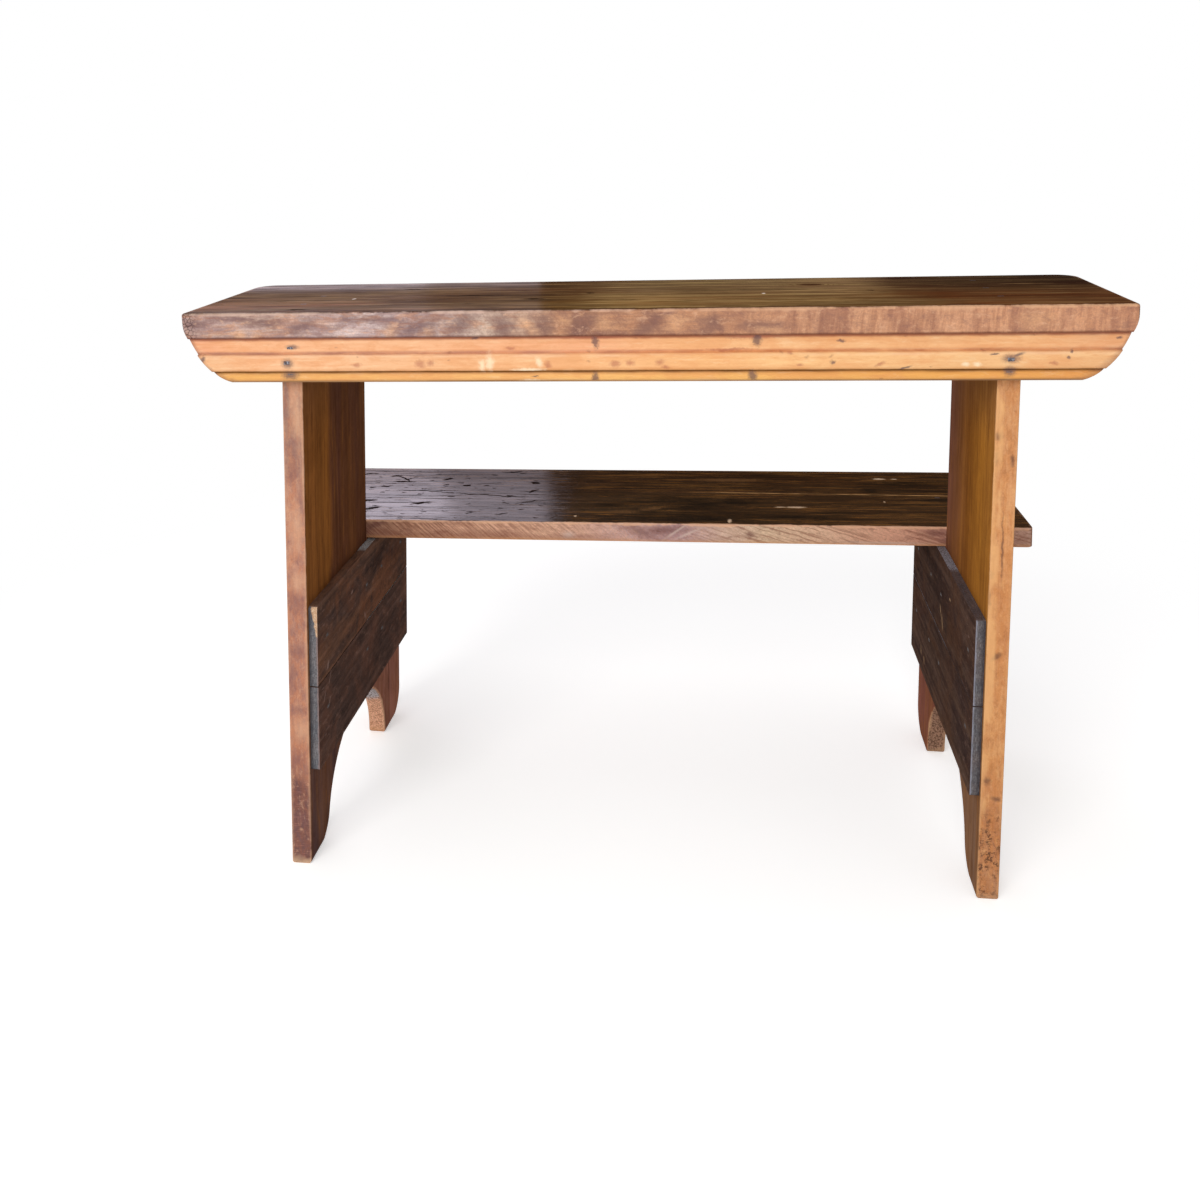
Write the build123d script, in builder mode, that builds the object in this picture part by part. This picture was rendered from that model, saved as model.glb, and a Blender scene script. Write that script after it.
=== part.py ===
from build123d import *
import math
import os

# Bucket bench: a nailed pine bench with board ends. A tall board at the front of
# each end carries the top, and a short board behind it carries the lower shelf, so
# each end is a stepped, bootjack-footed panel. All sizes in millimetres.
# Frame: X along the bench, Y from the moulded front edge towards the shelf side,
# Z up, origin on the floor under the middle of the bench.

# ---- top plank
top_length = 1064.0            # along the front edge
top_end_splay = 9.0           # how much further each end reaches at the rear edge
top_depth = 240.0
top_thickness = 30.0
bench_height = 706.0
top_end_undercut = 7.0        # how far the worn end faces fall back towards the underside
top_end_bulge = 4.0           # sag of the worn end's curve
top_back_radius = 26.0        # worn-round rear corners, in plan
top_front_radius = 5.0        # front corners, in plan
top_arris = 3.0               # worn upper edges

# ---- moulded board under the front edge
apron_length = 1048.0
apron_height = 53.0
apron_thickness = 19.0
apron_setback = 1.0           # its face behind the top's front edge
apron_end_run = 47.0          # length of the curved cut at each end
apron_end_bow = 8.0           # how far that cut bulges from a straight line
cove_height = 19.0            # upper band, hollowed
cove_depth = 3.2
cove_lip = 0.8                # the moulding's face behind the flat at its upper edge
fillet_height = 20.3          # middle band, flat and proud
groove_width = 1.6            # quirk between the middle band and the lower bead
groove_depth = 4.2
bead_recess = 1.6             # the lower bead's crown behind the middle band
bead_drop = 5.0               # how far the bead falls back at the bottom edge

# ---- end boards
board_thickness = 25.0
lean_left = 2.8               # degrees that each end has racked towards +X at the top
lean_right = 1.1
overhang_left = 112.0         # top's end to the leg's outer face, at the top's underside
overhang_right = 113.0
front_board_width = 218.0
rear_board_width = 149.0
board_gap = 0.0               # the two boards of an end meet edge to edge
board_arris = 1.5             # worn long edges

# ---- bootjack cut-out
front_foot_width = 62.0
arch_radius = 115.0
arch_centre_height = 6.0
foot_inner_radius = 38.0      # worn tip of the front foot, on the arch side
rear_foot_inner_radius = 8.0
rear_foot_heel_radius = 40.0  # rounded heel of the rear foot
sole_arris = 2.5              # knocked-off sides of the soles

# ---- lower shelf
shelf_thickness = 26.0
shelf_depth = 233.0
shelf_top_height = 368.0
shelf_gap = 1.0               # between the tall boards' rear edges and the shelf
shelf_overhang_left = 70.0    # shelf's end past the leg's outer face
shelf_overhang_right = 88.0
shelf_corner_radius = 9.0
shelf_arris = 1.8

# ---- battens across the two boards of each end
batten_thickness = 11.0
batten_setback = 5.0          # their front ends behind the tall board's front edge
batten_rear_reach = 6.0       # their rear ends past the rear board's edge
batten_bottom = 124.5
lower_batten_width = 110.5
batten_seam = 1.5
upper_batten_width = 103.5
batten_corner = 4.0           # knocked-off corners at the front ends

# ---- cut nails
nail_head_length = 7.0
nail_head_width = 4.0
nail_head_thickness = 1.4
nail_shank_length = 3.4
nail_shank_width = 2.6
top_nail_length = 65.0
shelf_nail_length = 60.0
apron_nail_length = 50.0
batten_nail_length = 30.0
nail_edge_distance = 32.0     # from a board's long edge to the nearest nail
top_nail_edge_distance = 44.0

# ---- places that follow from the sizes above
overall_depth = apron_setback + apron_thickness + front_board_width + shelf_gap + shelf_depth
front_y = -overall_depth / 2
apron_front_y = front_y + apron_setback
leg_front_y = apron_front_y + apron_thickness
seam_y = leg_front_y + front_board_width
leg_rear_y = seam_y + board_gap + rear_board_width
shelf_front_y = seam_y + shelf_gap
underside_z = bench_height - top_thickness
shelf_underside_z = shelf_top_height - shelf_thickness
arch_y = leg_front_y + front_foot_width + arch_radius
left_tilt = math.radians(lean_left)
right_tilt = math.radians(lean_right)
left_outer_x = -top_length / 2 + overhang_left
right_outer_x = top_length / 2 - overhang_right
batten_front_y = leg_front_y + batten_setback
batten_rear_y = leg_rear_y + batten_rear_reach
batten_length = batten_rear_y - batten_front_y
upper_batten_bottom = batten_bottom + lower_batten_width + batten_seam
trim = 40.0                   # extra board length that the level cuts take off
sole_allowance = 1.0          # extra foot length, cut level at the floor


def along(height, tilt):
    """Distance along a leaning board that rises by this height."""
    return height / math.cos(tilt)


def leaning_plane(x_at_underside, tilt, inward=0.0):
    """Plane on a leg's face: local x runs to the rear, local y up the leaning board.

    inward moves the plane towards +X, square to the board."""
    foot_x = x_at_underside - underside_z * math.tan(tilt)
    origin = (foot_x + inward * math.cos(tilt), 0, -inward * math.sin(tilt))
    return Plane(origin=origin, x_dir=(0, 1, 0), z_dir=(math.cos(tilt), 0, -math.sin(tilt)))


left_outer = leaning_plane(left_outer_x, left_tilt)
left_inner = leaning_plane(left_outer_x, left_tilt, board_thickness)
right_outer = leaning_plane(right_outer_x, right_tilt)
right_inner = leaning_plane(right_outer_x, right_tilt, -board_thickness)
top_underside = Plane.XY.offset(underside_z)
shelf_seat = Plane.XY.offset(shelf_underside_z)


def left_middle_x(height):
    """X of the middle of the left end's thickness at this height."""
    shift = board_thickness / 2 / math.cos(left_tilt)
    return left_outer_x + shift - (underside_z - height) * math.tan(left_tilt)


def right_middle_x(height):
    """X of the middle of the right end's thickness at this height."""
    shift = board_thickness / 2 / math.cos(right_tilt)
    return right_outer_x - shift - (underside_z - height) * math.tan(right_tilt)


def nail_set(face, spots, length, turn=0.0):
    """Cut nails driven square into a face, heads flush with it."""
    with BuildPart() as nails:
        with BuildSketch(face):
            with Locations(*spots):
                Rectangle(nail_head_length, nail_head_width, rotation=turn)
        extrude(amount=-nail_head_thickness)
        with BuildSketch(face.offset(-nail_head_thickness)):
            with Locations(*spots):
                Rectangle(nail_shank_length, nail_shank_width, rotation=turn)
        extrude(amount=nail_head_thickness - length)
    return nails.part


# ---- nails
top_rows = [leg_front_y + top_nail_edge_distance,
            (leg_front_y + seam_y) / 2,
            seam_y - top_nail_edge_distance]
top_nail_middle = underside_z - (top_nail_length - top_thickness) / 2
left_top_x = left_middle_x(top_nail_middle)
right_top_x = right_middle_x(top_nail_middle)
top_spots = [(x, y) for x in (left_top_x, right_top_x) for y in top_rows]
top_nails = nail_set(Plane.XY.offset(bench_height), top_spots, top_nail_length)

shelf_rows = [seam_y + nail_edge_distance, leg_rear_y - nail_edge_distance]
shelf_nail_middle = shelf_underside_z - (shelf_nail_length - shelf_thickness) / 2
left_shelf_x = left_middle_x(shelf_nail_middle)
right_shelf_x = right_middle_x(shelf_nail_middle)
shelf_spots = [(x, y) for x in (left_shelf_x, right_shelf_x) for y in shelf_rows]
shelf_nails = nail_set(Plane.XY.offset(shelf_top_height), shelf_spots, shelf_nail_length)

# Each band of the moulding is nailed from its own surface into the tall boards' edges.
cove_z = underside_z - cove_height * 0.6
flat_z = underside_z - cove_height - fillet_height / 2
bead_z = underside_z - (cove_height + fillet_height + groove_width + apron_height) / 2 + 2.0
left_apron_x = left_middle_x(flat_z)
right_apron_x = right_middle_x(flat_z)


def apron_plane(recess):
    """Upright plane facing the front, this far behind the moulding's proud face."""
    return Plane.XZ.offset(-(apron_front_y + recess))


cove_nails = nail_set(apron_plane(cove_depth * 0.8), [(left_apron_x + 6, cove_z)],
                      apron_nail_length)
flat_nails = nail_set(apron_plane(0), [(left_apron_x + 2, flat_z),
                                        (right_apron_x - 4, flat_z)],
                      apron_nail_length)
bead_nails = nail_set(apron_plane(bead_recess + 0.2),
                      [(left_apron_x + 5, bead_z), (right_apron_x - 5, bead_z)],
                      apron_nail_length)

# Each batten has two nails into the tall board and two into the rear board.
batten_columns = [batten_front_y + nail_edge_distance,
                  seam_y - nail_edge_distance,
                  seam_y + nail_edge_distance,
                  batten_rear_y - nail_edge_distance]
batten_rows = [batten_bottom + lower_batten_width * 0.62,
               upper_batten_bottom + upper_batten_width * 0.5]
left_spots = [(y, along(z, left_tilt)) for z in batten_rows for y in batten_columns]
right_spots = [(-y, along(z, right_tilt)) for z in batten_rows for y in batten_columns]
left_batten_face = leaning_plane(left_outer_x, left_tilt, board_thickness + batten_thickness)
right_batten_face = leaning_plane(right_outer_x, right_tilt,
                                  -board_thickness - batten_thickness)
right_batten_back = Plane(origin=right_batten_face.origin, x_dir=(0, -1, 0),
                          z_dir=-right_batten_face.z_dir)
left_batten_nails = nail_set(left_batten_face, left_spots, batten_nail_length)
right_batten_nails = nail_set(right_batten_back, right_spots, batten_nail_length)


# ---- top plank: splayed in plan, its worn ends falling back towards the underside
top_rear_y = front_y + top_depth
top_rear_half = top_length / 2 + top_end_splay
end_line = math.hypot(top_end_splay, top_depth)
end_run_x, end_run_y = top_end_splay / end_line, top_depth / end_line
across_end = Plane(origin=(top_length / 2, front_y, 0), x_dir=(end_run_y, -end_run_x, 0),
                   z_dir=(-end_run_x, -end_run_y, 0))
with BuildPart() as end_wear:
    with BuildSketch(across_end):
        with BuildLine():
            wear_z = bench_height - top_arris - 1
            middle_z = (wear_z + underside_z) / 2
            middle = (top_end_bulge - top_end_undercut) / 2
            ThreePointArc((0.3, wear_z), (middle, middle_z), (-top_end_undercut, underside_z))
            Polyline((-top_end_undercut, underside_z), (-top_end_undercut, underside_z - 1),
                     (5, underside_z - 1), (5, wear_z), (0.3, wear_z))
        make_face()
    extrude(amount=end_line + 20, both=True)

with BuildPart() as top_plank:
    with BuildSketch(top_underside) as plan:
        with BuildLine():
            Polyline((-top_length / 2, front_y), (top_length / 2, front_y),
                     (top_rear_half, top_rear_y), (-top_rear_half, top_rear_y), close=True)
        make_face()
        fillet(plan.vertices().group_by(Axis.Y)[0], top_front_radius)
        fillet(plan.vertices().group_by(Axis.Y)[-1], top_back_radius)
    extrude(amount=top_thickness)
    fillet(top_plank.faces().sort_by(Axis.Z)[-1].edges(), top_arris)
    add(end_wear.part, mode=Mode.SUBTRACT)
    add(mirror(end_wear.part, about=Plane.YZ, mode=Mode.PRIVATE), mode=Mode.SUBTRACT)
    add(top_nails, mode=Mode.SUBTRACT)
top_plank.part.label = "top_plank"

# ---- moulded front board: section on YZ, run along X, then the ends cut to a curve
with BuildPart() as front_apron:
    with BuildSketch(Plane.YZ.offset(-apron_length / 2)):
        with BuildLine():
            face = apron_front_y
            back = apron_front_y + apron_thickness
            cove_low = underside_z - cove_height
            flat_low = cove_low - fillet_height
            bead_top = flat_low - groove_width
            apron_low = underside_z - apron_height
            crown_z = bead_top - (bead_top - apron_low) * 0.42
            Line((back, underside_z), (face + cove_lip, underside_z))
            ThreePointArc((face + cove_lip, underside_z),
                          (face + cove_depth * 0.75, underside_z - cove_height * 0.5),
                          (face + cove_depth, cove_low))
            Polyline((face + cove_depth, cove_low), (face, cove_low - 0.9), (face, flat_low),
                     (face + groove_depth, flat_low - 0.3),
                     (face + bead_recess + 1.2, bead_top))
            ThreePointArc((face + bead_recess + 1.2, bead_top), (face + bead_recess, crown_z),
                          (face + bead_drop, apron_low))
            Polyline((face + bead_drop, apron_low), (back, apron_low), (back, underside_z))
        make_face()
    extrude(amount=apron_length)
    with BuildSketch(Plane.XZ.offset(-apron_front_y + 1)):
        with BuildLine():
            end_x = apron_length / 2
            foot_x = end_x - apron_end_run
            bow = apron_end_bow / math.hypot(apron_end_run, apron_height)
            bow_x = (end_x + foot_x) / 2 + bow * apron_height
            bow_z = (underside_z + apron_low) / 2 - bow * apron_end_run
            ThreePointArc((end_x, underside_z), (bow_x, bow_z), (foot_x, apron_low))
            Polyline((foot_x, apron_low), (foot_x, apron_low - 2), (end_x + 2, apron_low - 2),
                     (end_x + 2, underside_z), (end_x, underside_z))
        make_face()
        mirror(about=Plane.YZ)
    extrude(amount=-(apron_thickness + 2), mode=Mode.SUBTRACT)
    add([cove_nails, flat_nails, bead_nails], mode=Mode.SUBTRACT)
front_apron.part.label = "front_apron"


def leaning_bar(side, top):
    """Bar as thick as a board, from the floor to its level top, with eased soles."""
    outer, tilt, into_board = side
    run = top * math.tan(tilt)
    across = into_board / math.cos(tilt)
    foot_x = outer.origin.X
    with BuildPart() as bar:
        with BuildSketch(Plane.XZ) as end_on:
            with BuildLine():
                Polyline((foot_x, 0), (foot_x + run, top), (foot_x + run + across, top),
                         (foot_x + across, 0), close=True)
            make_face()
            chamfer(end_on.vertices().group_by(Axis.Y)[0], sole_arris)
        extrude(amount=overall_depth, both=True)
    return bar.part


def end_board(side, start_y, width, seat, tips, eased, nails):
    """An upright board with its share of the bootjack arch, cut level at floor and seat.

    side is the end's outer plane, its tilt and the way into the board; tips are the
    radii of its foot's front and rear corners, and eased the ends of its width whose
    long edges are worn."""
    outer, tilt, into_board = side
    upright_axis = Axis((0, 0, 0), (math.sin(tilt), 0, math.cos(tilt)))
    with BuildPart() as board:
        with BuildSketch(outer) as outline:
            tall = along(seat.origin.Z, tilt) + trim + sole_allowance
            with Locations((start_y + width / 2, tall / 2 - sole_allowance)):
                Rectangle(width, tall)
            with Locations((arch_y, along(arch_centre_height, tilt))):
                Circle(arch_radius, mode=Mode.SUBTRACT)
            for end in (0, -1):
                sole = outline.vertices().group_by(Axis.Y)[0].sort_by(Axis.X)
                fillet(sole[end], tips[end])
        extrude(amount=into_board)
        for end in eased:
            uprights = board.edges().filter_by(upright_axis).group_by(Axis.Y)
            fillet(uprights[end], board_arris)
        add(leaning_bar(side, seat.origin.Z), mode=Mode.INTERSECT)
        add(nails, mode=Mode.SUBTRACT)
    return board.part


def tall_board(side, nails):
    """Front board of an end: it carries the top, and its foot has a worn inner tip."""
    tips = (board_arris * 2, foot_inner_radius)
    return end_board(side, leg_front_y, front_board_width, top_underside,
                     tips, (0, -1), nails)


def short_board(side, nails):
    """Rear board of an end: it carries the shelf, and its foot has a rounded heel."""
    tips = (rear_foot_inner_radius, rear_foot_heel_radius)
    return end_board(side, seam_y + board_gap, rear_board_width, shelf_seat,
                     tips, (-1,), nails)


left_side = (left_outer, left_tilt, board_thickness)
right_side = (right_outer, right_tilt, -board_thickness)
top_side_nails = [top_nails, cove_nails, flat_nails, bead_nails]
left_leg_front_board = tall_board(left_side, top_side_nails + [left_batten_nails])
right_leg_front_board = tall_board(right_side, top_side_nails + [right_batten_nails])
left_leg_rear_board = short_board(left_side, [shelf_nails, left_batten_nails])
right_leg_rear_board = short_board(right_side, [shelf_nails, right_batten_nails])
left_leg_front_board.label = "left_leg_front_board"
right_leg_front_board.label = "right_leg_front_board"
left_leg_rear_board.label = "left_leg_rear_board"
right_leg_rear_board.label = "right_leg_rear_board"

# ---- lower shelf, lying on the rear boards behind the tall ones
leg_left_at_shelf = left_outer_x - (underside_z - shelf_underside_z) * math.tan(left_tilt)
leg_right_at_shelf = right_outer_x - (underside_z - shelf_underside_z) * math.tan(right_tilt)
shelf_left = leg_left_at_shelf - shelf_overhang_left
shelf_right = leg_right_at_shelf + shelf_overhang_right
with BuildPart() as shelf_plank:
    with BuildSketch(shelf_seat):
        with Locations(((shelf_left + shelf_right) / 2, shelf_front_y + shelf_depth / 2)):
            RectangleRounded(shelf_right - shelf_left, shelf_depth, shelf_corner_radius)
    extrude(amount=shelf_thickness)
    fillet(shelf_plank.faces().sort_by(Axis.Z)[-1].edges(), shelf_arris)
    add(shelf_nails, mode=Mode.SUBTRACT)
shelf_plank.part.label = "shelf_plank"


def batten(inner_face, tilt, amount, bottom, width, corner_end, nails):
    """A thin board nailed across both boards of an end, on its inner face."""
    with BuildPart() as board:
        with BuildSketch(inner_face) as outline:
            with Locations((batten_front_y + batten_length / 2, along(bottom, tilt) + width / 2)):
                Rectangle(batten_length, width)
            worn = outline.vertices().group_by(Axis.X)[0].sort_by(Axis.Y)[corner_end]
            fillet(worn, batten_corner)
        extrude(amount=amount)
        add(nails, mode=Mode.SUBTRACT)
    return board.part


left_batten_lower = batten(left_inner, left_tilt, batten_thickness, batten_bottom,
                           lower_batten_width, 0, left_batten_nails)
left_batten_upper = batten(left_inner, left_tilt, batten_thickness, upper_batten_bottom,
                           upper_batten_width, -1, left_batten_nails)
right_batten_lower = batten(right_inner, right_tilt, -batten_thickness, batten_bottom,
                            lower_batten_width, 0, right_batten_nails)
right_batten_upper = batten(right_inner, right_tilt, -batten_thickness, upper_batten_bottom,
                            upper_batten_width, -1, right_batten_nails)
left_batten_lower.label = "left_batten_lower"
left_batten_upper.label = "left_batten_upper"
right_batten_lower.label = "right_batten_lower"
right_batten_upper.label = "right_batten_upper"

# ---- nail groups, one node for each kind and place
with BuildPart() as apron_nails:
    add([cove_nails, flat_nails, bead_nails])
apron_nails.part.label = "apron_nails"
top_nails.label = "top_nails"
shelf_nails.label = "shelf_nails"
left_batten_nails.label = "left_batten_nails"
right_batten_nails.label = "right_batten_nails"

pieces = [top_plank.part, front_apron.part, left_leg_front_board, left_leg_rear_board,
          right_leg_front_board, right_leg_rear_board, shelf_plank.part,
          left_batten_lower, left_batten_upper, right_batten_lower, right_batten_upper,
          top_nails, apron_nails.part, shelf_nails, left_batten_nails, right_batten_nails]
os.makedirs("parts", exist_ok=True)
for piece in pieces:
    export_step(piece, "parts/" + piece.label + ".step")
print(len(pieces), "pieces, overall depth", overall_depth)
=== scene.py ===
import math

import bpy
from mathutils import Matrix, Vector


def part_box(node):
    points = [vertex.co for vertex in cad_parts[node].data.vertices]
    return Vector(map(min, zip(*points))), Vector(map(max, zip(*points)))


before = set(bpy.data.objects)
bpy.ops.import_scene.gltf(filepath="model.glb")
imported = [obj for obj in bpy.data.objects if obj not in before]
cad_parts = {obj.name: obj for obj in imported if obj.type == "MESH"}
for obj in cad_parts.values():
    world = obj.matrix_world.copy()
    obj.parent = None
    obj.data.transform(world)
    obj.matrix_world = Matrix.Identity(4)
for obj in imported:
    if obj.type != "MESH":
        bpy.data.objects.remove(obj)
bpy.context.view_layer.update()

# A bucket bench of old pine: a saw-marked top plank with a moulded board under its
# front edge, two stepped ends of two boards each, a shelf and dark cross battens.
# Metres; X along the bench, Y towards the shelf side, Z up from the floor.

LEAN_LEFT, LEAN_RIGHT = math.radians(2.8), math.radians(1.1)   # of the end boards
BOARD = 0.025                              # thickness of the end boards
top_low, top_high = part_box("top_plank")
TOP_FRONT, TOP_REAR = top_low[1], top_high[1]
TOP_UNDERSIDE, TOP_FACE = top_low[2], top_high[2]
TOP_END = 0.532                            # half the length of the top's front edge
# how much farther out each end of the top lies, for each metre back from its front edge
TOP_SPLAY = (top_high[0] - TOP_END) / (TOP_REAR - TOP_FRONT)
APRON_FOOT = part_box("front_apron")[0][2]
APRON_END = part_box("front_apron")[1][0]
END_CURVE_X = APRON_END - 0.0792           # centre of the curve sawn at each end of it
END_CURVE_Z = TOP_UNDERSIDE + 0.0229
END_CURVE_RADIUS = 0.0824
COVE_FOOT = TOP_UNDERSIDE - 0.019          # where the cove ends and the flat starts
QUIRK = COVE_FOOT - 0.0211                 # middle of the groove over the bead
leg_low, leg_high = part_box("left_leg_front_board")
LEG_FRONT = leg_low[1]
LEFT_OUTER = leg_high[0] - BOARD / math.cos(LEAN_LEFT)
RIGHT_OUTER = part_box("right_leg_front_board")[1][0]
ARCH_MIDDLE = LEG_FRONT + 0.177            # centre line of the bootjack cut-out
ARCH_CENTRE_Z, ARCH_RADIUS = 0.006, 0.115
ARCH_HALF_WIDTH, ARCH_HEIGHT = 0.118, 0.128   # a little outside the cut-out
shelf_low, shelf_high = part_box("shelf_plank")


# ---------------------------------------------------------------- small tools

def paint(red, green, blue):
    """A display colour, 0 to 255, as Blender's linear colour."""
    def linear(value):
        value /= 255
        return value / 12.92 if value <= 0.04045 else ((value + 0.055) / 1.055) ** 2.4
    return (linear(red), linear(green), linear(blue), 1.0)


class Bench:
    """Sets nodes out in one node tree and wires them together."""

    def __init__(self, tree):
        self.tree = tree

    def put(self, socket, value):
        if isinstance(value, bpy.types.NodeSocket):
            self.tree.links.new(value, socket)
        else:
            socket.default_value = value

    def node(self, kind, inputs=None, **settings):
        node = self.tree.nodes.new(kind)
        for name, value in settings.items():
            setattr(node, name, value)
        for name, value in (inputs or {}).items():
            self.put(node.inputs[name], value)
        return node

    def maths(self, operation, *values, clamp=False):
        node = self.node("ShaderNodeMath", operation=operation, use_clamp=clamp)
        for socket, value in zip(node.inputs, values):
            self.put(socket, value)
        return node.outputs[0]

    def add(self, first, *more):
        for value in more:
            first = self.maths("ADD", first, value)
        return first

    def less(self, first, second):
        return self.maths("SUBTRACT", first, second)

    def times(self, first, *more):
        for value in more:
            first = self.maths("MULTIPLY", first, value)
        return first

    def either(self, first, *more):
        for value in more:
            first = self.maths("MAXIMUM", first, value)
        return first

    def least(self, first, second):
        return self.maths("MINIMUM", first, second)

    def size(self, value):
        return self.maths("ABSOLUTE", value)

    def turned(self, value):
        """One minus the value."""
        return self.maths("SUBTRACT", 1.0, value, clamp=True)

    def rise(self, value, low, high, low_out=0.0, high_out=1.0):
        """Smooth step from low_out at low to high_out at high."""
        return self.node("ShaderNodeMapRange", {
            "Value": value, "From Min": low, "From Max": high,
            "To Min": low_out, "To Max": high_out},
            interpolation_type="SMOOTHSTEP").outputs["Result"]

    def fall(self, value, low, high):
        """Smooth step down from one at low to nothing at high."""
        return self.rise(value, low, high, 1.0, 0.0)

    def window(self, value, low, high, soft):
        """One between low and high, falling to nothing over soft."""
        return self.times(self.rise(value, low - soft, low + soft),
                          self.fall(value, high - soft, high + soft))

    def vector(self, x=0.0, y=0.0, z=0.0):
        return self.node("ShaderNodeCombineXYZ", {"X": x, "Y": y, "Z": z}).outputs[0]

    def split(self, vector):
        return self.node("ShaderNodeSeparateXYZ", {"Vector": vector}).outputs

    def vectors(self, operation, first, second):
        node = self.node("ShaderNodeVectorMath", operation=operation)
        self.put(node.inputs[0], first)
        self.put(node.inputs[1], second)
        return node.outputs["Value" if operation in ("LENGTH", "DISTANCE") else "Vector"]

    def noise(self, coords, scale, detail=2.0, rough=0.5, distortion=0.0):
        return self.node("ShaderNodeTexNoise", {
            "Vector": coords, "Scale": scale, "Detail": detail, "Roughness": rough,
            "Distortion": distortion}).outputs["Fac"]

    def drawn(self, coords, stretch):
        """The coordinates with each axis multiplied, so that a pattern is drawn out."""
        return self.vectors("MULTIPLY", coords, stretch)

    def streaks(self, coords, stretch, detail=2.0, rough=0.5, distortion=0.0):
        """Noise drawn out along the axes that stretch multiplies least."""
        return self.noise(self.drawn(coords, stretch), 1.0, detail, rough, distortion)

    def drift(self, coords, scale, reach):
        """A slow wander either way of nothing, up to about half of reach."""
        return self.times(self.less(self.noise(coords, scale, 2.0), 0.5), reach)

    def unsteady(self, value, coords, scale, reach):
        """The value with a slow wander in it, so that a line drawn by it is uneven."""
        return self.add(value, self.drift(coords, scale, reach))

    def warped(self, place, scale, reach):
        """The place nudged about by noise, so that straight marks come out crooked."""
        node = self.node("ShaderNodeTexNoise", {"Vector": place, "Scale": scale, "Detail": 3.0})
        shift = self.vectors("SUBTRACT", node.outputs["Color"], (0.5, 0.5, 0.5))
        return self.vectors("ADD", place, self.drawn(shift, (reach, reach, 0.0)))

    def mix(self, factor, first, second):
        """The first colour where factor is nothing, the second where it is one."""
        node = self.node("ShaderNodeMix", data_type="RGBA")
        self.put(node.inputs[0], factor)
        self.put(node.inputs[6], first)
        self.put(node.inputs[7], second)
        return node.outputs[2]

    def tint(self, colour, shade, *masks):
        """The colour turned towards a shade, where all the masks are strong."""
        return self.mix(self.times(*masks), colour, shade)

    def ramp(self, value, stops):
        node = self.node("ShaderNodeValToRGB", {"Fac": value})
        stops = sorted(stops, key=lambda stop: stop[0])
        elements = node.color_ramp.elements
        while len(elements) < len(stops):
            elements.new(0.5)
        for element, (place, colour) in zip(elements, stops):
            element.position = place
            element.color = colour
        return node.outputs["Color"]

    def along(self, value, stops):
        """Colours set out along a length of the bench, each at its place in metres."""
        stops = sorted(stops)
        low, high = stops[0][0], stops[-1][0]
        scaled = [((place - low) / (high - low), paint(*colour)) for place, colour in stops]
        factor = self.node("ShaderNodeMapRange", {"Value": value, "From Min": low,
                                                  "From Max": high}).outputs["Result"]
        return self.ramp(factor, scaled)

    def use(self, group, **inputs):
        node = self.node("ShaderNodeGroup", node_tree=group)
        for name, value in inputs.items():
            self.put(node.inputs[name.replace("_", " ").capitalize()], value)
        return node.outputs


def shared_effect(name, inputs, outputs, build):
    """A shader node group: build(bench, inputs) returns its outputs in order."""
    tree = bpy.data.node_groups.new(name, "ShaderNodeTree")
    kinds = {"value": "NodeSocketFloat", "vector": "NodeSocketVector"}
    for label, kind, value in inputs:
        socket = tree.interface.new_socket(label, in_out="INPUT", socket_type=kinds[kind])
        socket.default_value = value
    for label in outputs:
        tree.interface.new_socket(label, in_out="OUTPUT", socket_type="NodeSocketFloat")
    bench = Bench(tree)
    entry = bench.node("NodeGroupInput")
    results = build(bench, entry.outputs)
    leave = bench.node("NodeGroupOutput")
    for socket, result in zip(leave.inputs, results):
        bench.put(socket, result)
    return tree


# ---------------------------------------------------------------- shared effects

def build_grain(bench, given):
    """Pine with X along the grain; Along and Across are streaks to the metre."""
    shift = bench.vector(given["Seed"], bench.times(given["Seed"], 1.7), given["Seed"])
    moved = bench.vectors("ADD", given["Coords"], shift)
    place = bench.drawn(moved, bench.vector(given["Along"], given["Across"], given["Across"]))
    fine = bench.drawn(place, (3.0, 5.0, 5.0))
    tiny = bench.drawn(place, (5.0, 9.0, 9.0))
    wide = bench.drawn(place, (0.4, 0.28, 0.28))
    fibre = bench.noise(fine, scale=1.0, detail=3.0, rough=0.6)
    streak = bench.noise(place, scale=1.0, detail=4.0, rough=0.66, distortion=0.3)
    figure = bench.noise(wide, scale=1.0, detail=3.0, rough=0.55, distortion=0.8)
    pores = bench.noise(tiny, scale=1.0, detail=1.0)
    return (bench.rise(fibre, 0.32, 0.68), bench.rise(streak, 0.36, 0.66),
            bench.rise(figure, 0.34, 0.66), bench.rise(pores, 0.62, 0.72))


grain = shared_effect("pine_grain", [
    ("Coords", "vector", (0, 0, 0)), ("Along", "value", 7.0), ("Across", "value", 80.0),
    ("Seed", "value", 0.0)],
    ["Fibre", "Streak", "Figure", "Pores"], build_grain)


def build_arris(bench, given):
    """A worn edge: one at the arris, ragged, gone at Reach from it."""
    ragged = bench.noise(given["Coords"], scale=90.0, detail=3.0, rough=0.6)
    swell = bench.rise(bench.noise(given["Coords"], scale=16.0, detail=3.0, rough=0.6), 0.32,
                       0.68, low_out=0.35, high_out=1.4)
    reach = bench.times(given["Reach"], swell)
    shift = bench.times(bench.less(ragged, 0.5), given["Reach"], 1.3)
    away = bench.add(given["Distance"], shift)
    return (bench.turned(bench.maths("DIVIDE", away, reach, clamp=True)),)


worn_arris = shared_effect("worn_arris", [
    ("Coords", "vector", (0, 0, 0)), ("Distance", "value", 0.0), ("Reach", "value", 0.003)],
    ["Wear"], build_arris)


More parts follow.
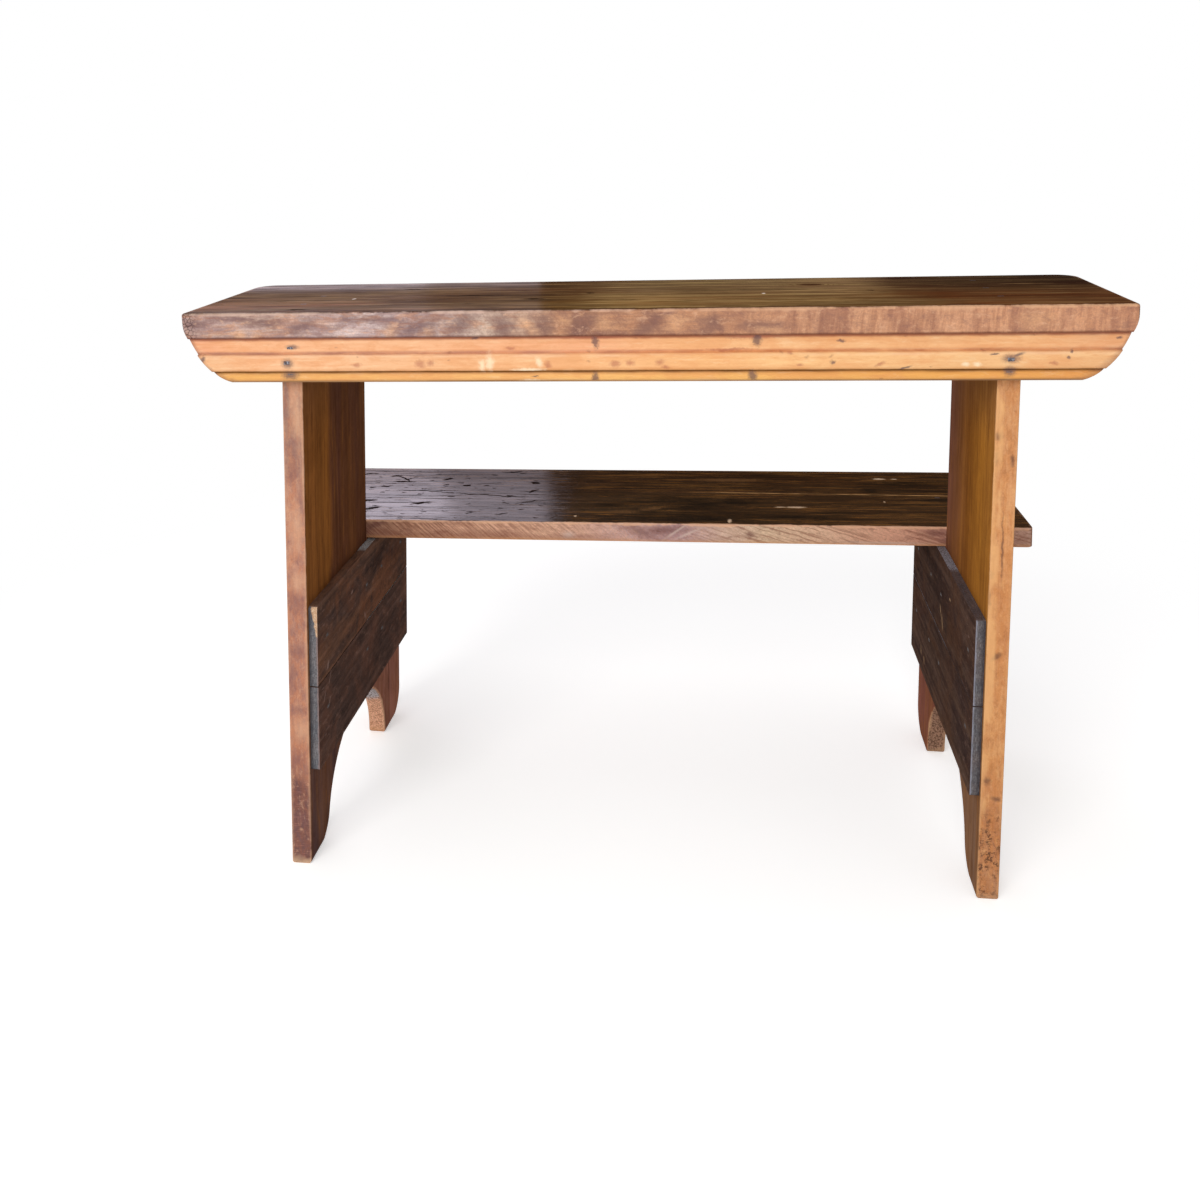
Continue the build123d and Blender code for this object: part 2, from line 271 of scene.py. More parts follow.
def build_mark(bench, given):
    """One oval mark on a face: Place is the point on the face, in metres."""
    offset = bench.vectors("SUBTRACT", given["Place"], given["Centre"])
    turned = bench.node("ShaderNodeVectorRotate", {
        "Vector": offset, "Angle": given["Turn"]}, rotation_type="Z_AXIS").outputs[0]
    unit = bench.vectors("DIVIDE", turned, given["Half size"])
    rim = bench.vectors("LENGTH", unit, (0, 0, 0))
    ragged = bench.less(bench.noise(given["Place"], scale=given["Grit"], detail=3.0, rough=0.6),
                        0.5)
    rim = bench.add(rim, bench.times(ragged, given["Ragged"]))
    mask = bench.fall(rim, bench.less(1.0, given["Soft"]), bench.add(1.0, given["Soft"]))
    return (mask,)


one_mark = shared_effect("mark", [
    ("Place", "vector", (0, 0, 0)), ("Centre", "vector", (0, 0, 0)),
    ("Half size", "vector", (0.005, 0.005, 1)), ("Turn", "value", 0.0),
    ("Soft", "value", 0.4), ("Ragged", "value", 0.8), ("Grit", "value", 300.0)],
    ["Mask"], build_mark)


def build_knocks(bench, given):
    """Scattered short dents on a face, whose own plane is X and Y of Coords."""
    sway = bench.drift(given["Coords"], scale=90.0, reach=0.012)
    drawn = bench.drawn(given["Coords"], bench.vector(given["Stretch"], 1.0, 1.0))
    drawn = bench.vectors("ADD", drawn, bench.vector(0.0, sway, 0.0))
    cells = bench.node("ShaderNodeTexVoronoi", {
        "Vector": drawn, "Scale": given["Scale"], "Randomness": 1.0}, voronoi_dimensions="2D")
    pick = bench.split(cells.outputs["Color"])[0]
    size = bench.rise(pick, given["Sparseness"], 1.0, low_out=0.0, high_out=given["Size"])
    return (bench.turned(bench.maths("DIVIDE", cells.outputs["Distance"],
                                     bench.add(size, 0.0001), clamp=True)),)


knocks = shared_effect("knocks", [
    ("Coords", "vector", (0, 0, 0)), ("Stretch", "value", 0.3), ("Scale", "value", 60.0),
    ("Sparseness", "value", 0.6), ("Size", "value", 0.25)], ["Mask"], build_knocks)


def build_saw(bench, given):
    """Streaks left by a mill saw, across X and slanted by Slant."""
    place = bench.split(given["Coords"])
    run = bench.add(place[0], bench.times(place[2], given["Slant"]),
                    bench.drift(given["Coords"], scale=14.0, reach=0.006))
    fine = bench.noise(bench.vector(run, 0.0, bench.times(place[2], 0.12)),
                       scale=given["Pitch"], detail=3.0, rough=0.7)
    broad = bench.noise(bench.vector(run, 0.3, bench.times(place[2], 0.3)),
                        scale=bench.times(given["Pitch"], 0.28), detail=3.0, rough=0.6)
    return (bench.rise(fine, 0.36, 0.66), bench.rise(broad, 0.38, 0.62))


saw_streaks = shared_effect("saw_streaks", [
    ("Coords", "vector", (0, 0, 0)), ("Pitch", "value", 300.0), ("Slant", "value", 0.0)],
    ["Fine", "Broad"], build_saw)


def build_blotches(bench, given):
    """Soft stains: Cover sets how much of the face they take."""
    field = bench.noise(bench.vectors("ADD", given["Coords"],
                                      bench.vector(given["Seed"], 0.0, given["Seed"])),
                        scale=given["Scale"], detail=6.0, rough=0.68, distortion=0.6)
    edge = bench.less(0.72, bench.times(given["Cover"], 0.44))
    mask = bench.rise(field, bench.less(edge, given["Soft"]), bench.add(edge, given["Soft"]))
    return (mask,)


blotches = shared_effect("blotches", [
    ("Coords", "vector", (0, 0, 0)), ("Scale", "value", 20.0), ("Cover", "value", 0.5),
    ("Soft", "value", 0.08), ("Seed", "value", 0.0)], ["Mask"], build_blotches)


def build_weathering(bench, given):
    """Small crisp patches: where dirt sits, and where a surface is rubbed."""
    field = bench.noise(given["Coords"], scale=given["Scale"], detail=8.0, rough=0.74,
                        distortion=0.4)
    return bench.rise(field, 0.49, 0.36), bench.rise(field, 0.53, 0.66)


weathering = shared_effect("weathering", [
    ("Coords", "vector", (0, 0, 0)), ("Scale", "value", 150.0)], ["Dirty", "Rubbed"],
    build_weathering)


def build_knot(bench, given):
    """A knot in a face: its dark heart, and the rings that bend round it."""
    offset = bench.vectors("SUBTRACT", given["Place"], given["Centre"])
    unit = bench.vectors("DIVIDE", offset, given["Half size"])
    rim = bench.unsteady(bench.vectors("LENGTH", unit, (0, 0, 0)), given["Place"], scale=60.0,
                         reach=0.9)
    heart = bench.fall(rim, 0.55, 0.95)
    wave = bench.maths("SINE", bench.times(rim, 17.0))
    rings = bench.times(bench.rise(wave, -0.2, 0.9), bench.fall(rim, 0.9, 2.6))
    return heart, rings


knot = shared_effect("knot", [
    ("Place", "vector", (0, 0, 0)), ("Centre", "vector", (0, 0, 0)),
    ("Half size", "vector", (0.016, 0.008, 1))], ["Heart", "Rings"], build_knot)


def marks(bench, place, table, soft=0.5, ragged=1.1, grit=300.0):
    """All the marks of a table, each (across, along, half width, half height, turn)."""
    total = None
    for across, along, half_width, half_height, turn in table:
        mask = bench.use(one_mark, place=place, centre=(across, along, 0),
                         half_size=(half_width, half_height, 1), grit=grit,
                         turn=-math.radians(turn), soft=soft, ragged=ragged)[0]
        total = mask if total is None else bench.either(total, mask)
    return total


def knotty(bench, colour, place, table):
    """The colour with knots set in it, each (across, along, half width, half height)."""
    for across, along, half_width, half_height in table:
        heart, rings = bench.use(knot, place=place, centre=(across, along, 0),
                                 half_size=(half_width, half_height, 1))
        colour = bench.tint(colour, paint(92, 52, 26), rings, 0.45)
        colour = bench.tint(colour, paint(66, 34, 20), heart, 0.85)
    return colour


# ---------------------------------------------------------------- material frame

class Finish:
    """One material under way: its coordinates, faces and running colour."""

    def __init__(self, name):
        self.material = bpy.data.materials.new(name)
        self.material.use_nodes = True
        self.material.node_tree.nodes.clear()
        self.bench = Bench(self.material.node_tree)
        bench = self.bench
        self.coords = bench.node("ShaderNodeTexCoord").outputs["Object"]
        self.x, self.y, self.z = bench.split(self.coords)
        normal = bench.split(bench.node("ShaderNodeNewGeometry").outputs["True Normal"])
        self.facing_x, self.facing_y, self.facing_z = normal
        # each of these is one on the faces that look that way and nothing on the others
        self.up = bench.rise(normal[2], 0.4, 0.6)
        self.front = bench.rise(bench.times(normal[1], -1.0), 0.4, 0.6)
        self.rear = bench.rise(normal[1], 0.4, 0.6)
        self.below = bench.rise(normal[2], -0.4, -0.7)
        self.ends = bench.rise(bench.size(normal[0]), 0.55, 0.75)
        self.on_top = bench.vector(self.x, self.y)
        self.on_front = bench.vector(self.x, self.z)

    def speckle(self):
        """The fine speckle of a sawn or worn edge."""
        return self.bench.rise(self.bench.noise(self.coords, scale=480.0, detail=4.0,
                                                rough=0.75), 0.4, 0.62)

    def wear(self, distance, reach):
        """Where an arris is worn that lies at this distance."""
        return self.bench.use(worn_arris, coords=self.coords, distance=distance, reach=reach)[0]

    def aged(self, colour, amount, dirt, bare, stretch=(1.0, 1.0, 1.0), scale=150.0):
        """The colour broken up by small dirty and rubbed places."""
        bench = self.bench
        dirty, rubbed = bench.use(weathering, scale=scale,
                                  coords=bench.drawn(self.coords, stretch))
        colour = bench.tint(colour, dirt, dirty, amount)
        return bench.tint(colour, bare, rubbed, amount)

    def wood(self, colour, roughness, relief, depth=0.0006, specular=0.0, coat=None,
             coat_roughness=0.2):
        """Closes the material: a Principled shader with the relief as bump."""
        bench = self.bench
        bump = bench.node("ShaderNodeBump", {"Height": relief, "Strength": 1.0,
                                             "Distance": depth})
        shader = bench.node("ShaderNodeBsdfPrincipled", {
            "Base Color": colour, "Roughness": roughness, "Specular IOR Level": specular,
            "Normal": bump.outputs[0]})
        if coat is not None:
            bench.put(shader.inputs["Coat Weight"], coat)
            shader.inputs["Coat Roughness"].default_value = coat_roughness
            film = bench.node("ShaderNodeBump", {"Height": relief, "Strength": 1.0,
                                                 "Distance": depth * 0.2})
            bench.put(shader.inputs["Coat Normal"], film.outputs[0])
        out = bench.node("ShaderNodeOutputMaterial")
        bench.put(out.inputs["Surface"], shader.outputs[0])
        return self.material


def give(node, material):
    """Puts a material on a carried-over piece."""
    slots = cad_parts[node].data.materials
    slots.clear()
    slots.append(material)


def raw_end(bench, y, z, dark, light):
    """End grain: curved rings and fine dark checks."""
    rings = bench.noise(bench.vector(0.0, y, bench.times(z, 2.4)), scale=150.0, detail=4.0,
                        rough=0.7, distortion=0.5)
    return bench.mix(bench.rise(rings, 0.35, 0.65), dark, light)


# ---------------------------------------------------------------- top plank

# The lists of colours are for Bench.along: a place in metres, and the colour there.
# The lists of marks are for marks(), and those of knots for knotty().

TOP_NEAR = [(-0.54, (150, 90, 45)), (-0.08, (120, 85, 45)), (0.0, (145, 105, 60)),
            (0.1, (130, 90, 50)), (0.2, (145, 105, 60)), (0.28, (130, 90, 50)),
            (0.36, (105, 55, 25)), (0.54, (100, 50, 25))]
TOP_FAR = [(-0.54, (105, 65, 35)), (-0.08, (95, 60, 40)), (0.0, (140, 110, 80)),
           (0.16, (125, 95, 70)), (0.24, (145, 110, 80)), (0.31, (60, 30, 25)),
           (0.47, (40, 20, 15)), (0.54, (50, 30, 25))]
TOP_EDGE = [(-0.54, (185, 160, 160)), (-0.5, (215, 185, 170)), (-0.42, (240, 210, 190)),
            (-0.34, (240, 220, 215)), (-0.26, (225, 205, 200)), (-0.18, (230, 205, 185)),
            (-0.1, (200, 150, 115)), (0.54, (240, 175, 130))]
TOP_GOUGES = [(-0.399, -0.216, 0.01, 0.004, 4), (-0.127, -0.153, 0.014, 0.004, -10),
              (-0.066, -0.109, 0.006, 0.004, 0), (0.271, -0.114, 0.005, 0.003, 0),
              (-0.3, -0.06, 0.022, 0.003, 2), (-0.21, -0.12, 0.04, 0.003, -1)]
TOP_FLECKS = [(-0.358, -0.135, 0.002, 0.004, 0), (0.145, -0.13, 0.002, 0.004, 0)]
TOP_EDGE_DARK = [(-0.515, 0.693, 0.012, 0.006, 0), (-0.47, 0.699, 0.034, 0.003, 0),
                 (-0.425, 0.694, 0.022, 0.005, 0), (-0.385, 0.691, 0.02, 0.007, 20),
                 (-0.31, 0.697, 0.04, 0.003, 0), (-0.25, 0.686, 0.026, 0.009, 10),
                 (-0.2, 0.69, 0.02, 0.009, 35), (-0.15, 0.688, 0.014, 0.012, 55),
                 (-0.103, 0.688, 0.012, 0.012, 50), (-0.06, 0.686, 0.018, 0.012, 40),
                 (-0.035, 0.679, 0.024, 0.004, 0), (0.012, 0.686, 0.02, 0.01, 45),
                 (0.033, 0.701, 0.012, 0.002, 0), (0.082, 0.686, 0.016, 0.01, 40),
                 (0.14, 0.686, 0.022, 0.005, 0)]
TOP_EDGE_PALE = [(-0.461, 0.68, 0.007, 0.004, 0), (-0.441, 0.679, 0.006, 0.004, 0),
                 (-0.28, 0.683, 0.007, 0.007, 0), (-0.236, 0.68, 0.005, 0.005, 0),
                 (-0.12, 0.686, 0.005, 0.011, 50), (-0.034, 0.69, 0.007, 0.008, 40),
                 (-0.079, 0.694, 0.006, 0.006, 40), (0.147, 0.682, 0.012, 0.003, 0),
                 (0.045, 0.69, 0.01, 0.008, 40), (0.425, 0.69, 0.014, 0.01, 0)]
TOP_KNOTS = [(0.205, -0.06, 0.02, 0.01)]


def top_face(f, run, streak, figure, pores):
    """The upper face: dry and brown-grey on the left, olive and redder to the right."""
    bench = f.bench
    left = bench.fall(f.x, -0.11, -0.08)
    inwards = bench.rise(bench.unsteady(f.y, f.coords, scale=9.0, reach=0.06), TOP_FRONT + 0.03,
                         TOP_REAR - 0.05)
    face = bench.mix(inwards, bench.along(run, TOP_NEAR), bench.along(run, TOP_FAR))
    shaded = bench.use(blotches, coords=bench.drawn(f.coords, (0.5, 1.6, 1.0)), scale=9.0,
                       cover=0.44, soft=0.1, seed=4.0)[0]
    face = bench.tint(face, paint(60, 40, 24), shaded, 0.34)
    face = bench.tint(face, paint(156, 124, 80), figure,
                      bench.rise(f.x, 0.26, 0.38, low_out=0.42, high_out=0.24))
    lines = bench.streaks(f.coords, (9.0, 150.0, 1.0), detail=3.0, rough=0.7)
    lines = bench.rise(lines, 0.52, 0.68)
    face = bench.tint(face, paint(52, 34, 24), bench.turned(streak),
                      bench.add(0.34, bench.times(left, 0.22)))
    face = bench.tint(face, paint(44, 30, 24), lines, bench.add(0.36, bench.times(left, 0.42)))
    olive = bench.streaks(f.coords, (4.0, 110.0, 1.0), detail=4.0, rough=0.7, distortion=0.4)
    middle_zone = bench.window(f.x, -0.06, 0.28, soft=0.03)
    face = bench.tint(face, paint(188, 156, 102), bench.rise(olive, 0.5, 0.62), middle_zone,
                      0.5)
    face = bench.tint(face, paint(98, 66, 36), bench.rise(olive, 0.48, 0.38), middle_zone, 0.5)
    face = bench.tint(face, paint(34, 22, 16), pores, 0.5)
    face = f.aged(face, bench.rise(f.x, 0.26, 0.38, low_out=0.5, high_out=0.3),
                  paint(60, 40, 26), paint(172, 136, 92), stretch=(0.07, 1.0, 1.0), scale=85.0)
    gouges = marks(bench, bench.warped(f.on_top, scale=40.0, reach=0.016), TOP_GOUGES, soft=0.5,
                   ragged=1.6, grit=160.0)
    dents = bench.use(knocks, coords=f.coords, stretch=0.2, scale=34.0, sparseness=0.80,
                      size=0.20)[0]
    hurt = bench.either(gouges, bench.times(dents, 0.8))
    face = bench.tint(face, paint(36, 24, 18), hurt, 0.8)
    face = bench.mix(marks(bench, f.on_top, TOP_FLECKS), face, paint(224, 204, 190))
    return knotty(bench, face, f.on_top, TOP_KNOTS), lines, hurt


def top_edge(f, run, fibre):
    """The front edge: blotched at the left, clouded in the middle, saw-marked at the right."""
    bench = f.bench
    edge = bench.along(run, TOP_EDGE)
    stretched = bench.drawn(f.coords, (0.25, 1.0, 1.0))
    cloud = bench.use(blotches, coords=stretched, scale=95.0, cover=0.46, soft=0.09, seed=2.0)[0]
    leaning = bench.vector(bench.add(f.x, bench.times(f.z, 0.8)), f.y, bench.times(f.z, 0.3))
    slanted = bench.use(blotches, coords=leaning, scale=40.0, cover=0.48, soft=0.08, seed=6.0)[0]
    middle = bench.window(f.x, -0.24, 0.12, soft=0.05)
    right_side = bench.rise(f.x, 0.02, 0.20)
    far_left = bench.fall(f.x, -0.26, -0.16)
    edge = bench.tint(edge, paint(130, 102, 100), cloud,
                      bench.add(0.14, bench.times(far_left, 0.46)))
    purple = bench.use(blotches, coords=stretched, scale=60.0, cover=0.55, soft=0.10, seed=7.0)[0]
    edge = bench.tint(edge, paint(176, 150, 154), purple, far_left, 0.5)
    orange = bench.use(blotches, coords=stretched, scale=120.0, cover=0.40, soft=0.06, seed=9.0)[0]
    edge = bench.tint(edge, paint(214, 150, 108), orange, bench.turned(right_side), 0.45)
    edge = bench.tint(edge, paint(138, 98, 90), slanted, middle, 0.4)
    fine, broad = bench.use(saw_streaks, coords=f.coords, pitch=130.0, slant=-0.10)
    right = bench.rise(f.x, 0.04, 0.22, low_out=0.16, high_out=1.0)
    edge = bench.tint(edge, paint(146, 98, 88), bench.turned(broad), right, 0.42)
    edge = bench.tint(edge, paint(132, 86, 76), bench.turned(fine), right, 0.38)
    edge = bench.tint(edge, paint(228, 176, 144), fine, broad, right, 0.3)
    edge = bench.tint(edge, paint(106, 80, 84), marks(bench, f.on_front, TOP_EDGE_DARK,
                                                      soft=0.9, ragged=2.0, grit=110.0), 0.6)
    edge = bench.tint(edge, paint(244, 188, 142),
                      marks(bench, f.on_front, TOP_EDGE_PALE, soft=1.0, ragged=2.4, grit=100.0),
                      0.5)
    edge = bench.tint(edge, paint(134, 94, 78), bench.turned(fibre),
                      bench.rise(f.x, 0.0, 0.2, low_out=0.3, high_out=0.08))
    edge = bench.tint(edge, paint(120, 86, 78), bench.turned(f.speckle()), 0.2)
    edge = f.aged(edge, 0.34, paint(132, 98, 92), paint(238, 190, 156),
                  stretch=(0.55, 1.0, 1.0))
    cells = bench.node("ShaderNodeTexVoronoi", {"Vector": f.coords, "Scale": 210.0},
                       feature="DISTANCE_TO_EDGE").outputs["Distance"]
    # fine cracks over the left corner
    crackle = bench.times(bench.fall(cells, 0.02, 0.1), bench.fall(f.x, -0.522, -0.51))
    edge = bench.tint(edge, paint(60, 40, 38), crackle, 0.6)
    # painted shade: a dark line along the lower edge, where the top meets the moulded board
    shade_under_top_edge = bench.fall(bench.unsteady(f.z, f.coords, scale=60.0, reach=0.001),
                           TOP_UNDERSIDE, TOP_UNDERSIDE + 0.003)
    edge = bench.tint(edge, paint(96, 46, 34), shade_under_top_edge, 0.75)
    return edge, crackle, bench.times(bench.turned(fine), right)


def finish_top():
    """The top plank, with bare ends, underside and back and a pale worn front arris."""
    f = Finish("old_pine_top")
    bench = f.bench
    fibre, streak, figure, pores = bench.use(grain, coords=f.coords, along=6.0, across=70.0,
                                             seed=3.1)
    run = bench.unsteady(f.x, f.coords, scale=6.0, reach=0.1)
    face, lines, hurt = top_face(f, run, streak, figure, pores)
    edge, crackle, saw_cuts = top_edge(f, run, fibre)
    colour = bench.mix(f.front, face, edge)
    # ends and underside are bare, dry end grain and saw-rough wood
    colour = bench.mix(f.ends, colour, raw_end(bench, f.y, f.z, paint(98, 68, 54),
                                               paint(176, 134, 108)))
    rough_saw = bench.use(saw_streaks, coords=bench.vector(f.x, f.z, f.y), pitch=260.0,
                          slant=0.25)[0]
    raw = bench.mix(streak, paint(98, 68, 44), paint(146, 108, 72))
    raw = bench.tint(raw, paint(84, 58, 40), bench.turned(rough_saw), 0.35)
    colour = bench.mix(f.below, colour, raw)
    rear = bench.mix(streak, paint(120, 84, 58), paint(178, 134, 100))
    colour = bench.mix(f.rear, colour, rear)
    # pale worn arris along the front, with the polish dark just behind it
    to_front = bench.size(bench.less(f.y, TOP_FRONT))
    to_face = bench.size(bench.less(TOP_FACE, f.z))
    away = bench.add(to_front, to_face)
    rim = f.wear(away, bench.rise(f.x, -0.1, 0.4, low_out=0.022, high_out=0.012))
    colour = bench.tint(colour, paint(62, 42, 32), rim, f.up, 0.75)
    worn = f.wear(away, bench.rise(f.x, 0.0, 0.45, low_out=0.0034, high_out=0.0052))
    pale = bench.along(f.x, [(-0.54, (206, 176, 158)), (-0.20, (222, 188, 172)),
                             (0.10, (220, 170, 136)), (0.54, (228, 178, 138))])
    colour = bench.mix(bench.least(bench.times(worn, 1.15), 0.75), colour, pale)
    end_x = bench.add(TOP_END, bench.times(bench.less(f.y, TOP_FRONT), TOP_SPLAY))
    to_end = bench.size(bench.less(end_x, bench.size(f.x)))
    end_wear = f.wear(bench.add(to_end, to_face), 0.0065)
    colour = bench.tint(colour, paint(186, 144, 120), end_wear, 0.6)
    to_rear = bench.size(bench.less(f.y, TOP_REAR))
    rear_wear = f.wear(bench.add(to_rear, to_face), 0.006)
    colour = bench.tint(colour, paint(176, 134, 104), rear_wear, 0.5)
    relief = bench.add(bench.times(fibre, 0.3), bench.times(lines, f.up, -0.5),
                       bench.times(hurt, -1.0), bench.times(crackle, f.front, -0.8),
                       bench.times(saw_cuts, f.front, -0.6))
    rough = bench.add(0.50, bench.times(f.front, 0.10), bench.times(bench.turned(streak), 0.10))
    sheen = bench.add(bench.rise(f.y, TOP_FRONT + 0.02, TOP_FRONT + 0.09, low_out=0.13,
                                 high_out=0.07),
                      bench.times(bench.rise(f.y, TOP_REAR - 0.09, TOP_REAR - 0.01), 0.3))
    clean = bench.turned(bench.either(hurt, bench.times(lines, 0.8),
                                      bench.times(bench.turned(streak), 0.5)))
    give("top_plank", f.wood(colour, rough, relief, coat=bench.times(f.up, clean, sheen),
                             coat_roughness=0.12))


# ---------------------------------------------------------------- moulded front board

COVE = [(-0.53, (245, 175, 140)), (-0.47, (255, 195, 150)), (-0.3, (255, 200, 155)),
        (-0.05, (250, 185, 140)), (0.05, (255, 200, 145)), (0.3, (250, 195, 140)),
        (0.42, (255, 200, 145)), (0.53, (245, 190, 145))]
FLAT = [(-0.52, (245, 200, 155)), (-0.44, (250, 195, 150)), (-0.3, (255, 205, 160)),
        (0.06, (250, 190, 130)), (0.2, (255, 205, 145)), (0.5, (250, 200, 145))]
BEAD = [(-0.5, (245, 185, 100)), (-0.2, (255, 200, 125)), (0.15, (255, 195, 110)),
        (0.32, (250, 185, 95)), (0.5, (245, 175, 90))]
APRON_STAINS = [(-0.046, 0.669, 0.0035, 0.007, 6), (-0.047, 0.628, 0.0035, 0.006, 4),
                (0.133, 0.67, 0.0045, 0.0065, 0), (0.128, 0.629, 0.0045, 0.006, 6),
                (0.224, 0.668, 0.004, 0.0015, 0), (0.215, 0.645, 0.003, 0.002, 0),
                (-0.115, 0.63, 0.0035, 0.001, 0), (0.512, 0.67, 0.003, 0.0015, 0),
                (0.464, 0.655, 0.0015, 0.0015, 0), (0.461, 0.648, 0.0015, 0.0015, 0),
                (0.385, 0.653, 0.0045, 0.001, 0), (0.291, 0.638, 0.006, 0.001, 20),
                (-0.509, 0.651, 0.0035, 0.0025, 40), (-0.183, 0.674, 0.004, 0.0015, 0)]
APRON_BROWN = [(0.102, 0.659, 0.022, 0.0015, 0), (-0.324, 0.644, 0.005, 0.002, 0),
               (-0.248, 0.645, 0.005, 0.004, 0), (-0.236, 0.646, 0.004, 0.003, 0),
               (-0.007, 0.645, 0.004, 0.003, 0), (-0.024, 0.644, 0.005, 0.003, 0),
               (0.026, 0.646, 0.004, 0.003, 0), (0.032, 0.64, 0.004, 0.002, 0),
               (-0.1, 0.644, 0.003, 0.004, 30), (0.169, 0.655, 0.003, 0.0015, 0),
               (0.179, 0.642, 0.003, 0.0015, 0), (-0.143, 0.662, 0.005, 0.002, 0),
               (0.446, 0.643, 0.004, 0.0015, 0), (0.265, 0.642, 0.005, 0.0015, 20),
               (0.128, 0.674, 0.02, 0.0025, 0), (-0.046, 0.675, 0.03, 0.002, 0)]
APRON_PALE = [(-0.167, 0.646, 0.004, 0.008, 0), (-0.176, 0.643, 0.003, 0.006, 0),
              (-0.122, 0.638, 0.014, 0.0015, 0), (-0.12, 0.624, 0.011, 0.002, 0),
              (0.355, 0.642, 0.003, 0.002, 0), (0.367, 0.642, 0.0035, 0.002, 0),
              (-0.11, 0.646, 0.003, 0.005, 20)]
APRON_HALOS = [(-0.4, 0.665, 0.0065, 0.0025, 0), (-0.406, 0.646, 0.006, 0.005, 0),
               (-0.404, 0.632, 0.0085, 0.0045, 0), (0.402, 0.648, 0.008, 0.004, 0),
               (0.401, 0.634, 0.0055, 0.005, 0), (0.409, 0.652, 0.006, 0.0015, 18)]


